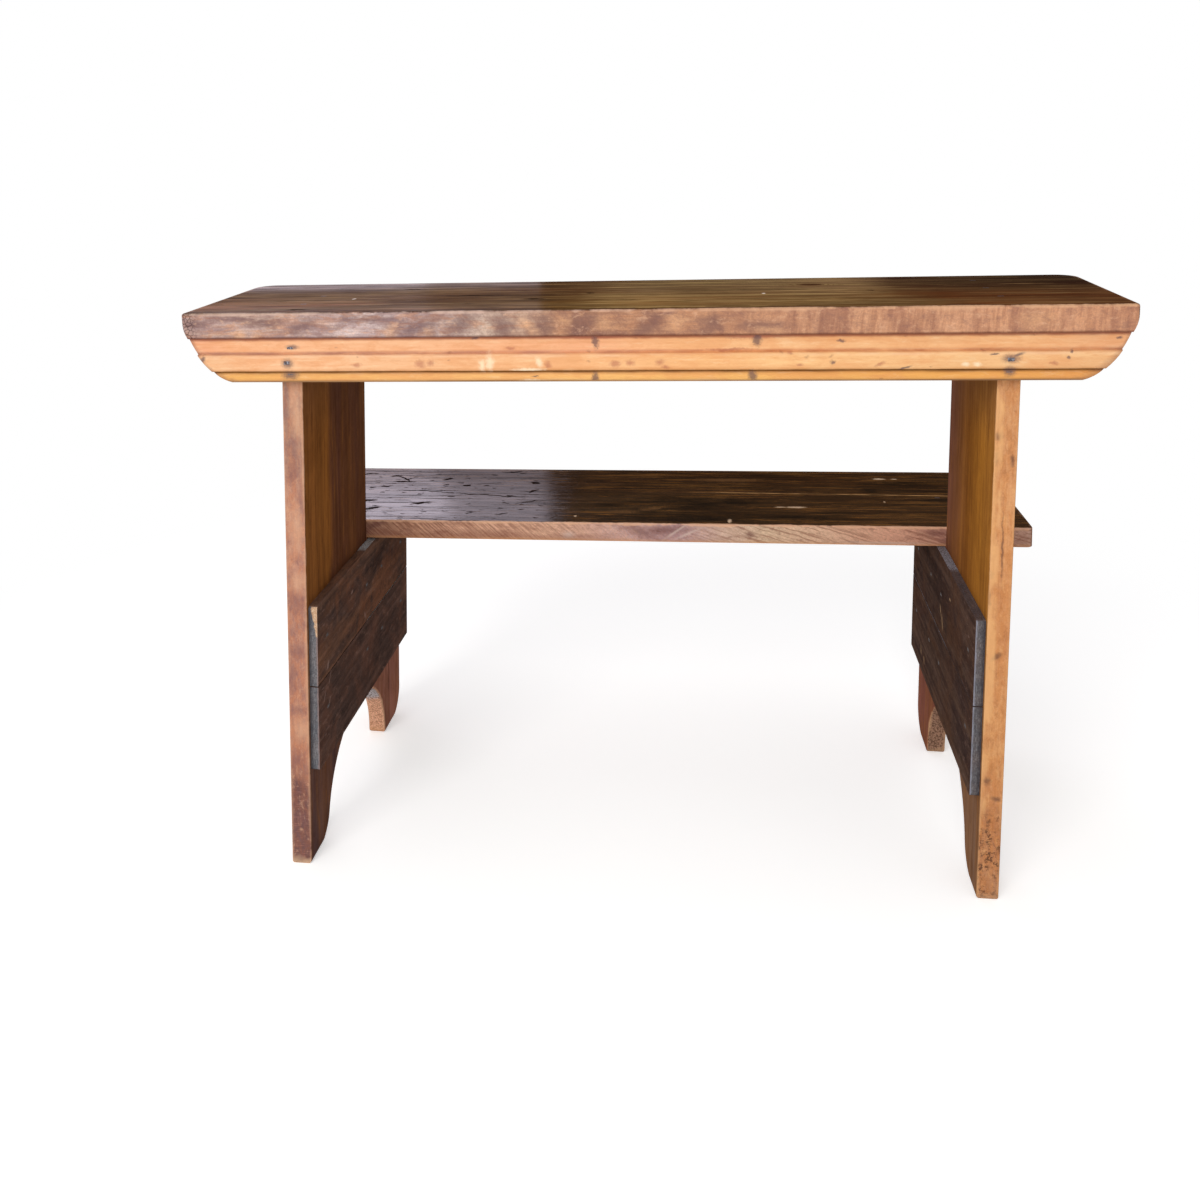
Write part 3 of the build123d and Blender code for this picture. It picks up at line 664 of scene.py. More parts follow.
def finish_apron():
    """The moulded board: honey pine, with painted shade in its grooves and dirt round its nails."""
    f = Finish("honey_pine_moulding")
    bench = f.bench
    fibre, streak, figure, _ = bench.use(grain, coords=f.coords, along=5.0, across=230.0,
                                         seed=9.4)
    run = bench.unsteady(f.x, f.coords, scale=12.0, reach=0.05)
    height = bench.unsteady(f.z, f.coords, scale=26.0, reach=0.0014)
    colour = bench.mix(bench.rise(height, QUIRK - 0.0004, QUIRK + 0.0006),
                       bench.along(run, BEAD), bench.along(run, FLAT))
    colour = bench.mix(bench.rise(height, COVE_FOOT - 0.0006, COVE_FOOT + 0.0006), colour,
                       bench.along(run, COVE))
    colour = bench.tint(colour, paint(220, 140, 82), bench.turned(figure), 0.22)
    colour = bench.tint(colour, paint(206, 136, 80), bench.turned(streak), 0.16)
    colour = bench.tint(colour, paint(190, 120, 72), bench.turned(fibre), 0.08)
    warm = bench.use(blotches, coords=bench.drawn(f.coords, (0.4, 1.0, 1.0)), scale=48.0,
                     cover=0.46, soft=0.1, seed=5.0)[0]
    colour = bench.tint(colour, paint(228, 150, 92), warm, 0.38)
    colour = f.aged(colour, 0.26, paint(216, 144, 92), paint(255, 226, 182),
                    stretch=(0.22, 1.0, 1.3))
    # painted highlight on the flat's proud edge, and painted shade in the quirks
    uneven = bench.rise(bench.streaks(f.coords, (22.0, 90.0, 90.0), detail=3.0, rough=0.65),
                        0.34, 0.66)
    # painted highlight: a pale line where light catches the flat's proud upper edge
    proud = bench.window(height, COVE_FOOT - 0.0046, COVE_FOOT - 0.002, soft=0.0018)
    colour = bench.tint(colour, paint(255, 218, 184), proud, uneven, 0.3)
    # painted shade in the crease where the cove meets the flat
    lip_shade = bench.window(height, COVE_FOOT - 0.0014, COVE_FOOT + 0.0024, soft=0.0018)
    lip_shade_tint = bench.along(f.x, [(-0.53, (156, 108, 96)), (-0.1, (186, 128, 106)),
                                 (0.1, (190, 112, 66)), (0.53, (176, 116, 84))])
    colour = bench.tint(colour, lip_shade_tint, lip_shade, bench.add(0.35, bench.times(uneven, 0.45)))
    # painted shade above and below the groove over the bead
    shaded = bench.window(height, QUIRK - 0.004, QUIRK + 0.0026, soft=0.003)
    colour = bench.tint(colour, paint(190, 124, 56), shaded,
                        bench.add(0.34, bench.times(uneven, 0.22)))
    # painted shade: the groove over the bead drawn dark
    groove_shade = bench.window(height, QUIRK - 0.0022, QUIRK + 0.0013, soft=0.0014)
    colour = bench.tint(colour, paint(134, 86, 34), groove_shade,
                        bench.add(0.62, bench.times(uneven, 0.3)))
    # painted shadow: a dark reddish line on the cove just under the top plank
    shade_under_top = bench.rise(bench.unsteady(f.z, f.coords, scale=60.0, reach=0.002),
                      TOP_UNDERSIDE - 0.005, TOP_UNDERSIDE - 0.0012)
    colour = bench.tint(colour, paint(138, 62, 40), shade_under_top, 0.8)
    # painted shade on the bead's rounded lower edge, which turns downward
    low = bench.fall(f.z, APRON_FOOT, APRON_FOOT + 0.004)
    colour = bench.tint(colour, paint(128, 76, 34), low, 0.75)
    # the sawn curve of each end, as an arc
    round_end = bench.vectors("DISTANCE", bench.vector(bench.size(f.x), f.z),
                              (END_CURVE_X, END_CURVE_Z, 0.0))
    end_dirt = f.wear(bench.size(bench.less(round_end, END_CURVE_RADIUS)), 0.006)
    end_dirt = bench.times(end_dirt, bench.rise(bench.size(f.x), 0.450, 0.462))
    colour = bench.tint(colour, paint(140, 96, 78), end_dirt, 0.55)
    crooked = bench.warped(f.on_front, scale=130.0, reach=0.005)
    colour = bench.tint(colour, paint(178, 104, 78),
                        marks(bench, crooked, APRON_BROWN, soft=0.8, ragged=1.8, grit=300.0),
                        0.6)
    colour = bench.tint(colour, paint(255, 234, 198),
                        marks(bench, f.on_front, APRON_PALE, soft=0.9, ragged=2.2, grit=200.0),
                        0.75)
    spots = marks(bench, crooked, APRON_STAINS, soft=0.6, ragged=1.5, grit=420.0)
    colour = bench.tint(colour, paint(92, 72, 76), spots, 0.75)
    dents = bench.use(knocks, coords=f.on_front, stretch=0.5, scale=75.0, sparseness=0.88,
                      size=0.14)[0]
    colour = bench.tint(colour, paint(146, 92, 70), dents, 0.5)
    halos = marks(bench, f.on_front, APRON_HALOS, soft=0.8, ragged=1.2, grit=420.0)
    colour = bench.tint(colour, paint(98, 80, 82), halos, 0.78)
    back = bench.mix(streak, paint(136, 96, 60), paint(186, 140, 94))
    colour = bench.mix(bench.either(f.rear, f.below), colour, back)
    colour = bench.tint(colour, raw_end(bench, f.y, f.z, paint(118, 78, 56),
                                        paint(182, 132, 96)),
                        bench.rise(bench.size(f.facing_x), 0.5, 0.7), 0.8)
    relief = bench.add(bench.times(fibre, 0.2), bench.times(spots, -0.7),
                       bench.times(dents, -0.7))
    rough = bench.add(0.42, bench.times(bench.turned(streak), 0.12), bench.times(groove_shade, 0.2))
    give("front_apron", f.wood(colour, rough, relief, depth=0.0004, specular=0.2, coat=0.1,
                               coat_roughness=0.25))


# ---------------------------------------------------------------- end boards

LEFT_EDGE_DARK = [(-0.414, 0.54, 0.009, 0.014, 0), (-0.416, 0.512, 0.01, 0.012, 15),
                  (-0.408, 0.478, 0.006, 0.02, 0), (-0.421, 0.59, 0.003, 0.04, 0),
                  (-0.423, 0.345, 0.01, 0.012, 15), (-0.424, 0.283, 0.012, 0.009, 0),
                  (-0.436, 0.25, 0.005, 0.02, 0), (-0.43, 0.205, 0.01, 0.006, 0),
                  (-0.44, 0.14, 0.012, 0.009, 25), (-0.438, 0.062, 0.008, 0.008, 0)]
LEFT_EDGE_PALE = [(-0.408, 0.59, 0.005, 0.04, 0), (-0.416, 0.44, 0.007, 0.024, 0),
                  (-0.42, 0.372, 0.009, 0.01, 0), (-0.428, 0.18, 0.01, 0.014, 0),
                  (-0.438, 0.046, 0.002, 0.002, 0)]
RIGHT_EDGE_DARK = [(0.402, 0.428, 0.001, 0.034, 0), (0.395, 0.557, 0.0045, 0.004, 0),
                   (0.393, 0.532, 0.0025, 0.007, 0), (0.41, 0.529, 0.002, 0.006, 0),
                   (0.389, 0.397, 0.004, 0.004, 0), (0.388, 0.367, 0.002, 0.012, 0),
                   (0.398, 0.3, 0.006, 0.003, 30), (0.401, 0.126, 0.005, 0.0025, 0),
                   (0.409, 0.118, 0.0015, 0.004, 0), (0.391, 0.148, 0.004, 0.004, 20),
                   (0.408, 0.093, 0.0015, 0.012, 0), (0.407, 0.062, 0.0015, 0.007, 0),
                   (0.407, 0.04, 0.0015, 0.006, 0)]
RIGHT_EDGE_PALE = [(0.388, 0.119, 0.002, 0.008, 0), (0.391, 0.48, 0.003, 0.06, 0)]


def into_end(f, side):
    """X with the end's lean taken out of it, and the depth in from the end's outer face."""
    bench = f.bench
    outer, lean = (LEFT_OUTER, LEAN_LEFT) if side < 0 else (RIGHT_OUTER, LEAN_RIGHT)
    upright_x = bench.add(f.x, bench.times(bench.less(TOP_UNDERSIDE, f.z), math.tan(lean)))
    return upright_x, bench.times(bench.less(upright_x, outer), -side)


def end_faces(f, grained, inward, tones, streak, close_streak, figure, pores):
    """The broad faces: amber at the front, browner behind and by the floor."""
    bench = f.bench
    across = bench.unsteady(f.y, grained, scale=9.0, reach=0.04)
    inner = bench.along(across, tones["inner"])
    inner = bench.tint(inner, tones["inner_top"], bench.rise(f.z, 0.52, 0.67), 0.5)
    inner = bench.tint(inner, tones["inner_low"], bench.rise(f.z, 0.36, 0.12), 0.75)
    # painted shade and dirt: the inner face darkens down towards the shelf and battens
    inner = bench.tint(inner, tones["inner_dark"],
                       bench.rise(bench.unsteady(f.z, grained, scale=12.0, reach=0.04), 0.47,
                                  0.36), 0.24)
    inner = bench.tint(inner, tones["inner_pale"], figure, 0.3)
    inner = bench.tint(inner, tones["inner_dark"], bench.turned(streak), 0.32)
    inner = bench.tint(inner, tones["inner_dark"], bench.turned(close_streak), 0.14)
    inner = bench.tint(inner, tones["inner_dark"], pores, 0.45)
    inner = f.aged(inner, 0.4, tones["inner_dark"], tones["inner_pale"],
                   stretch=(1.0, 1.0, 0.08), scale=120.0)
    shade = bench.use(blotches, coords=grained, scale=9.0, cover=0.42, soft=0.12,
                      seed=tones["seed"])[0]
    inner = bench.tint(inner, tones["inner_dark"], shade, 0.25)
    outside = bench.mix(figure, paint(134, 84, 42), paint(178, 120, 64))
    outside = bench.tint(outside, paint(96, 56, 28), bench.turned(streak), 0.45)
    outside = bench.tint(outside, paint(98, 60, 36), shade, 0.35)
    outside = knotty(bench, outside, bench.vector(f.y, f.z), tones["knots"])
    return bench.mix(inward, outside, inner)


def end_edges(f, grained, upright_x, depth, tones, close_streak, figure):
    """The narrow edges: the front ones bright and worn, the rear ones browner."""
    bench = f.bench
    edge = bench.along(bench.add(f.z, bench.drift(grained, scale=34.0, reach=0.05),
                                 bench.times(upright_x, tones["slope"])), tones["edge"])
    edge = bench.tint(edge, tones["edge_pale"], figure, 0.26)
    edge = bench.tint(edge, tones["edge_dark"], bench.turned(close_streak), 0.3)
    cloudy = bench.use(blotches, coords=bench.drawn(grained, (0.6, 1.0, 1.0)), scale=60.0,
                       cover=0.42, soft=0.1, seed=tones["seed"] + 2)[0]
    edge = bench.tint(edge, tones["edge_stain"], cloudy, tones["cloud"])
    smeared = bench.use(blotches, coords=bench.drawn(grained, (0.35, 1.0, 1.0)), scale=170.0,
                        cover=0.5, soft=0.08, seed=tones["seed"] + 6)[0]
    edge = bench.tint(edge, tones["edge_warm"], smeared, 0.42)
    edge = bench.tint(edge, tones["edge_dark"], bench.turned(f.speckle()), 0.22)
    low = bench.fall(bench.unsteady(f.z, grained, scale=60.0, reach=0.03), tones["low"] - 0.02,
                     tones["low"] + 0.02)
    edge = bench.tint(edge, paint(92, 60, 62), low, tones["sooty"])
    scuffs = bench.streaks(f.coords, (60.0, 60.0, 700.0), detail=3.0, rough=0.7)
    scuffs = bench.times(bench.rise(scuffs, 0.50, 0.66), bench.add(0.24, bench.times(low, 0.76)),
                         tones["scuffs"])
    edge = bench.mix(scuffs, edge, tones["scuff"])
    edge = f.aged(edge, 0.4, tones["edge_dirt"], tones["edge_pale"], stretch=(1.0, 1.0, 0.55))
    if tones.get("dark_marks"):
        dark = marks(bench, bench.warped(f.on_front, scale=60.0, reach=0.006),
                     tones["dark_marks"], soft=0.8, ragged=1.6, grit=200.0)
        edge = bench.tint(edge, tones["mark"], dark, tones["mark_strength"])
    if tones.get("pale_marks"):
        light = marks(bench, f.on_front, tones["pale_marks"], soft=0.9, ragged=1.3, grit=120.0)
        edge = bench.tint(edge, tones["edge_pale"], light, 0.5)
    if tones.get("mottle"):
        # dirty specks over the foot
        patch = bench.times(bench.fall(f.z, 0.085, 0.125),
                            bench.rise(bench.noise(f.coords, scale=70.0, detail=3.0, rough=0.6),
                                       0.4, 0.6))
        speckle = bench.rise(bench.noise(f.coords, scale=230.0, detail=5.0, rough=0.8), 0.49,
                             0.56)
        edge = bench.tint(edge, paint(78, 54, 44), patch, speckle, 0.82)
    # a broken strip, worn pale, along one side of the edge
    strip = bench.times(bench.rise(bench.unsteady(depth, f.coords, scale=40.0, reach=0.003),
                                   tones["strip"] - 0.002, tones["strip"] + 0.002),
                        bench.rise(f.z, 0.1, 0.2))
    broken = bench.rise(bench.streaks(f.coords, (60.0, 60.0, 22.0), detail=3.0, rough=0.6),
                        0.38, 0.58)
    edge = bench.tint(edge, tones["strip_colour"], strip, broken, tones["strip_weight"])
    return bench.tint(edge, tones["rear_edge"], f.rear, 0.6), scuffs


def finish_end_board(name, side, node, tones):
    """A board of an end: side is -1 for the left end and 1 for the right one."""
    f = Finish(name)
    bench = f.bench
    upright_x, depth = into_end(f, side)
    grained = bench.vector(f.z, f.y, upright_x)
    fibre, streak, figure, pores = bench.use(grain, coords=grained, along=4.0, across=90.0,
                                             seed=tones["seed"])
    close_fibre, close_streak, _, _ = bench.use(grain, coords=grained, along=7.0, across=240.0,
                                                seed=tones["seed"] + 4)
    inward = bench.rise(bench.times(f.facing_x, -side), 0.4, 0.7)
    colour = end_faces(f, grained, inward, tones, streak, close_streak, figure, pores)
    edge, scuffs = end_edges(f, grained, upright_x, depth, tones, close_streak, figure)
    facing_edge = bench.rise(bench.size(f.facing_y), 0.5, 0.8)
    colour = bench.mix(facing_edge, colour, edge)
    # bootjack arch and sole: sawn end grain
    narrow = bench.fall(bench.size(f.facing_x), 0.3, 0.6)
    from_middle = bench.size(bench.less(f.y, ARCH_MIDDLE))
    in_arch = bench.times(bench.fall(from_middle, ARCH_HALF_WIDTH - 0.001,
                                     ARCH_HALF_WIDTH + 0.001),
                          bench.fall(f.z, ARCH_HEIGHT - 0.002, ARCH_HEIGHT + 0.002))
    sole = bench.rise(f.facing_z, -0.5, -0.8)
    speck = bench.noise(f.coords, scale=430.0, detail=4.0, rough=0.7)
    sawn = bench.mix(bench.rise(speck, 0.38, 0.60), tones["arch_dark"], tones["arch"])
    hoary = bench.times(bench.rise(bench.unsteady(f.z, f.coords, scale=50.0, reach=0.02), 0.06,
                                   0.074), tones["hoary"])
    sawn = bench.mix(hoary, sawn, bench.mix(bench.rise(speck, 0.45, 0.55), paint(112, 104, 104),
                                            paint(206, 204, 208)))
    colour = bench.tint(colour, sawn, bench.either(in_arch, sole), narrow)
    # worn arrises and foot
    nearest = bench.least(bench.size(depth), bench.size(bench.less(BOARD, depth)))
    to_front = bench.size(bench.less(f.y, LEG_FRONT))
    worn = f.wear(bench.add(nearest, to_front), 0.0032)
    colour = bench.tint(colour, tones["arris"], worn, 0.6)
    round_arch = bench.vectors("DISTANCE", bench.vector(f.y, f.z),
                               (ARCH_MIDDLE, ARCH_CENTRE_Z, 0.0))
    to_arch = bench.size(bench.less(round_arch, ARCH_RADIUS))
    arch_wear = f.wear(bench.add(nearest, to_arch), 0.0036)
    colour = bench.tint(colour, tones["arch_arris"], arch_wear, 0.75)
    foot = f.wear(f.z, 0.011)
    colour = bench.tint(colour, tones["foot"], foot, bench.turned(inward), 0.8)
    relief = bench.add(bench.times(fibre, 0.25), bench.times(close_fibre, facing_edge, 0.15),
                       bench.times(pores, -0.3), bench.times(scuffs, facing_edge, -0.5))
    rough = bench.add(0.52, bench.times(facing_edge, 0.04), bench.times(bench.turned(streak), 0.08))
    give(node, f.wood(colour, rough, relief, depth=0.0004, coat=bench.times(facing_edge, 0.1),
                      coat_roughness=0.25))


LEFT_TONES = {
    "seed": 1.3, "slope": 0.9, "low": 0.115, "sooty": 0.50,
    "inner": [(-0.22, (165, 105, 55)), (-0.145, (165, 105, 50)), (-0.128, (110, 70, 55)),
              (0.02, (115, 75, 55)), (0.15, (145, 90, 65))],
    "inner_pale": paint(158, 102, 48), "inner_dark": paint(74, 42, 24),
    "inner_top": paint(122, 92, 80), "inner_low": paint(88, 84, 98),
    "edge": [(-0.39, (95, 65, 70)), (-0.265, (85, 60, 70)), (-0.245, (180, 120, 95)),
             (-0.2, (200, 135, 105)), (-0.1, (190, 135, 115)), (0.1, (205, 150, 125)),
             (0.18, (185, 145, 120)), (0.3, (210, 170, 140))],
    "edge_pale": paint(222, 174, 142), "edge_dark": paint(148, 98, 84),
    "edge_stain": paint(140, 104, 102), "cloud": 0.50,
    "dark_marks": LEFT_EDGE_DARK, "pale_marks": LEFT_EDGE_PALE,
    "mark": paint(122, 88, 90), "mark_strength": 0.42,
    "strip": 0.0222, "strip_colour": paint(222, 170, 132), "strip_weight": 0.30,
    "edge_warm": paint(200, 126, 86), "edge_dirt": paint(136, 98, 94),
    "scuffs": 0.50, "scuff": paint(178, 124, 108), "rear_edge": paint(150, 96, 62),
    "arch": paint(148, 112, 84), "arch_dark": paint(80, 58, 48), "hoary": 0.0,
    "arch_arris": paint(124, 92, 76), "arris": paint(216, 168, 136),
    "foot": paint(226, 190, 156),
    "knots": [(-0.130, 0.330, 0.010, 0.020), (-0.030, 0.560, 0.007, 0.012)]}

RIGHT_TONES = {
    "seed": 5.7, "slope": 0.0, "low": 0.120, "sooty": 0.0,
    "inner": [(-0.22, (200, 135, 60)), (-0.16, (195, 130, 50)), (-0.1, (150, 95, 40)),
              (-0.04, (135, 90, 65)), (0.15, (135, 90, 110))],
    "inner_pale": paint(176, 116, 50), "inner_dark": paint(100, 58, 26),
    "inner_top": paint(156, 122, 104), "inner_low": paint(140, 124, 116),
    "edge": [(0.0, (175, 125, 100)), (0.105, (185, 125, 90)), (0.128, (205, 145, 105)),
             (0.16, (215, 155, 105)), (0.32, (220, 155, 105)), (0.52, (230, 170, 120)),
             (0.676, (220, 165, 120))],
    "edge_pale": paint(238, 182, 122), "edge_dark": paint(180, 114, 68),
    "edge_stain": paint(186, 118, 78), "cloud": 0.30,
    "dark_marks": RIGHT_EDGE_DARK, "pale_marks": RIGHT_EDGE_PALE,
    "mark": paint(104, 74, 62), "mark_strength": 0.68, "mottle": True,
    "strip": 0.0155, "strip_colour": paint(240, 184, 126), "strip_weight": 0.60,
    "edge_warm": paint(208, 134, 74), "edge_dirt": paint(166, 106, 66),
    "scuffs": 0.25, "scuff": paint(150, 96, 72), "rear_edge": paint(160, 104, 66),
    "arch": paint(146, 108, 78), "arch_dark": paint(96, 66, 46), "hoary": 0.0,
    "arch_arris": paint(150, 110, 76), "arris": paint(228, 174, 122),
    "foot": paint(196, 156, 122),
    "knots": [(-0.090, 0.250, 0.009, 0.018), (-0.170, 0.500, 0.008, 0.014)]}

LEFT_REAR_TONES = dict(LEFT_TONES, seed=2.2, dark_marks=None, pale_marks=None, hoary=0.9,
                       arch=paint(246, 190, 156), arch_dark=paint(182, 126, 96),
                       inner_low=paint(216, 150, 132), arch_arris=paint(226, 176, 142),
                       foot=paint(214, 160, 120), knots=[(0.070, 0.210, 0.010, 0.018)])
RIGHT_REAR_TONES = dict(RIGHT_TONES, seed=6.6, dark_marks=None, pale_marks=None, mottle=None,
                        inner_low=paint(158, 100, 94), arch=paint(170, 130, 106),
                        arch_dark=paint(92, 66, 52), arch_arris=paint(210, 164, 126),
                        knots=[(0.090, 0.160, 0.008, 0.016)])


# ---------------------------------------------------------------- shelf

SHELF_NEAR = [(-0.51, (90, 65, 55)), (-0.04, (75, 55, 40)), (0.04, (65, 45, 30)),
              (0.22, (85, 55, 30)), (0.51, (80, 50, 30))]
SHELF_FAR = [(-0.51, (95, 65, 50)), (-0.16, (75, 50, 35)), (0.06, (75, 45, 25)),
             (0.26, (70, 40, 20)), (0.51, (70, 45, 25))]
SHELF_EDGE = [(-0.51, (175, 135, 110)), (-0.34, (235, 180, 150)), (-0.15, (255, 205, 175)),
              (0.03, (215, 175, 175)), (0.16, (255, 225, 190)), (0.33, (255, 195, 165)),
              (0.39, (215, 160, 140)), (0.51, (215, 175, 155))]
SHELF_GOUGES = [(-0.472, 0.205, 0.012, 0.003, 8), (-0.425, 0.196, 0.0085, 0.0035, 0),
                (-0.407, 0.18, 0.017, 0.002, -50), (-0.398, 0.182, 0.0135, 0.002, 40),
                (-0.403, 0.167, 0.022, 0.0025, -1), (-0.43, 0.147, 0.0085, 0.004, 0),
                (-0.339, 0.183, 0.0085, 0.0035, 25), (-0.301, 0.156, 0.006, 0.0035, 15),
                (-0.268, 0.205, 0.006, 0.0025, 0), (-0.198, 0.168, 0.007, 0.0065, -35),
                (-0.238, 0.221, 0.01, 0.003, 0), (-0.434, 0.084, 0.01, 0.0035, 0),
                (-0.418, 0.05, 0.011, 0.0055, 25), (-0.352, 0.074, 0.0125, 0.0045, 0),
                (-0.268, 0.036, 0.0075, 0.002, 45), (-0.22, 0.031, 0.01, 0.0015, 20),
                (-0.192, 0.083, 0.017, 0.0015, 30), (-0.25, 0.11, 0.0595, 0.002, -6),
                (-0.36, 0.128, 0.051, 0.0015, 3), (-0.33, 0.122, 0.0255, 0.0015, 0),
                (-0.19, 0.13, 0.0085, 0.003, 60)]
SHELF_DARK = [(-0.024, 0.05, 0.03, 0.016, 0), (0.06, 0.078, 0.04, 0.02, 0),
              (0.031, 0.1, 0.05, 0.012, 0), (0.11, 0.092, 0.036, 0.014, 0),
              (0.309, 0.145, 0.014, 0.008, 0), (0.07, 0.03, 0.08, 0.014, 0),
              (0.398, 0.109, 0.024, 0.006, 0), (0.36, 0.18, 0.04, 0.008, 0),
              (-0.07, 0.074, 0.018, 0.008, 0), (0.2, 0.03, 0.06, 0.01, 0)]
SHELF_TAN = [(-0.046, 0.048, 0.02, 0.008, 0), (-0.01, 0.06, 0.016, 0.006, 20),
             (0.1, 0.19, 0.04, 0.006, 0)]
SHELF_PALE = [(0.196, 0.073, 0.012, 0.003, 1), (0.175, 0.073, 0.008, 0.0015, 0),
              (0.33, 0.2, 0.008, 0.003, 0), (0.352, 0.2, 0.004, 0.0015, 0),
              (0.102, 0.016, 0.0025, 0.006, 0), (0.323, 0.099, 0.001, 0.002, 0),
              (-0.114, 0.028, 0.002, 0.0025, 0)]
SHELF_EDGE_PALE = [(-0.121, 0.349, 0.008, 0.005, 0), (0.03, 0.358, 0.02, 0.0015, 35),
                   (0.045, 0.354, 0.016, 0.0015, 25), (0.3, 0.345, 0.05, 0.0015, 0)]
SHELF_EDGE_DARK = [(0.129, 0.354, 0.006, 0.0035, 0), (-0.02, 0.356, 0.026, 0.006, -20),
                   (-0.4, 0.36, 0.02, 0.005, 20), (0.012, 0.358, 0.03, 0.007, 0),
                   (0.375, 0.36, 0.016, 0.005, 0), (0.4, 0.348, 0.016, 0.006, 0)]
SHELF_KNOTS = [(-0.21, 0.15, 0.016, 0.01), (0.26, 0.08, 0.02, 0.012)]
RIDGE_NEAR, RIDGE_FAR, RIDGE_SLOPE = 0.1322, 0.1350, 0.0165


def shelf_face(f, run, streak, figure, pores):
    """The upper face: dark wax, gouged at the left, with amber streaks to the right."""
    bench = f.bench
    left = bench.fall(f.x, -0.2, -0.1)
    inwards = bench.rise(f.y, shelf_low[1] + 0.05, shelf_high[1] - 0.06)
    face = bench.mix(inwards, bench.along(run, SHELF_NEAR), bench.along(run, SHELF_FAR))
    amber = bench.streaks(f.coords, (7.0, 150.0, 1.0), detail=5.0, rough=0.75, distortion=0.6)
    face = bench.tint(face, paint(150, 100, 48), bench.rise(amber, 0.5, 0.6),
                      bench.rise(f.x, -0.14, -0.08), 0.85)
    face = bench.tint(face, paint(30, 20, 12), bench.rise(amber, 0.46, 0.38),
                      bench.rise(f.x, -0.14, -0.08), 0.72)
    face = bench.tint(face, paint(112, 80, 44), figure, 0.34)
    face = bench.tint(face, paint(34, 22, 16), bench.turned(streak), 0.58)
    face = bench.tint(face, paint(22, 14, 10), pores, 0.5)
    dark = marks(bench, f.on_top, SHELF_DARK, soft=0.9, ragged=1.6, grit=60.0)
    face = bench.tint(face, paint(22, 16, 12), dark, 0.75)
    tan = marks(bench, f.on_top, SHELF_TAN, soft=0.9, ragged=1.6, grit=90.0)
    face = bench.tint(face, paint(150, 106, 66), tan, 0.45)
    crooked = bench.warped(f.on_top, scale=34.0, reach=0.02)
    face = f.aged(face, bench.rise(f.x, -0.12, 0.0, low_out=0.5, high_out=0.38),
                  paint(36, 24, 18), paint(132, 92, 52), stretch=(0.1, 1.0, 1.0), scale=110.0)
    gouges = marks(bench, crooked, SHELF_GOUGES, soft=0.35, ragged=1.6, grit=200.0)
    dents = bench.use(knocks, coords=f.coords, stretch=0.30, scale=75.0, sparseness=0.70,
                      size=0.20)[0]
    small = bench.use(knocks, coords=f.coords, stretch=0.24, scale=150.0, sparseness=0.52,
                      size=0.24)[0]
    dents = bench.rise(bench.either(dents, small), 0.15, 0.45)
    lines = bench.streaks(f.coords, (12.0, 210.0, 1.0), detail=5.0, rough=0.75, distortion=0.5)
    lines = bench.times(bench.rise(lines, 0.53, 0.62), left)
    hurt = bench.either(gouges, bench.times(dents, bench.add(0.25, bench.times(left, 0.70))),
                        bench.times(lines, 0.60))
    face = bench.tint(face, paint(28, 18, 16), hurt, 0.9)
    # a pale raised line runs along the right half
    ridge = bench.window(bench.add(f.y, bench.times(f.x, RIDGE_SLOPE)), RIDGE_NEAR, RIDGE_FAR,
                         soft=0.001)
    ridge = bench.times(ridge, bench.rise(f.x, 0.03, 0.09),
                        bench.rise(bench.noise(f.coords, scale=40.0, detail=3.0), 0.35, 0.6,
                                   low_out=0.3, high_out=1.0))
    face = bench.tint(face, paint(208, 158, 104), ridge, 0.95)
    chips = marks(bench, bench.warped(f.on_top, scale=160.0, reach=0.004), SHELF_PALE, soft=0.5,
                  ragged=1.4, grit=500.0)
    face = bench.tint(face, paint(232, 200, 168), chips, 0.9)
    return face, hurt, ridge, chips


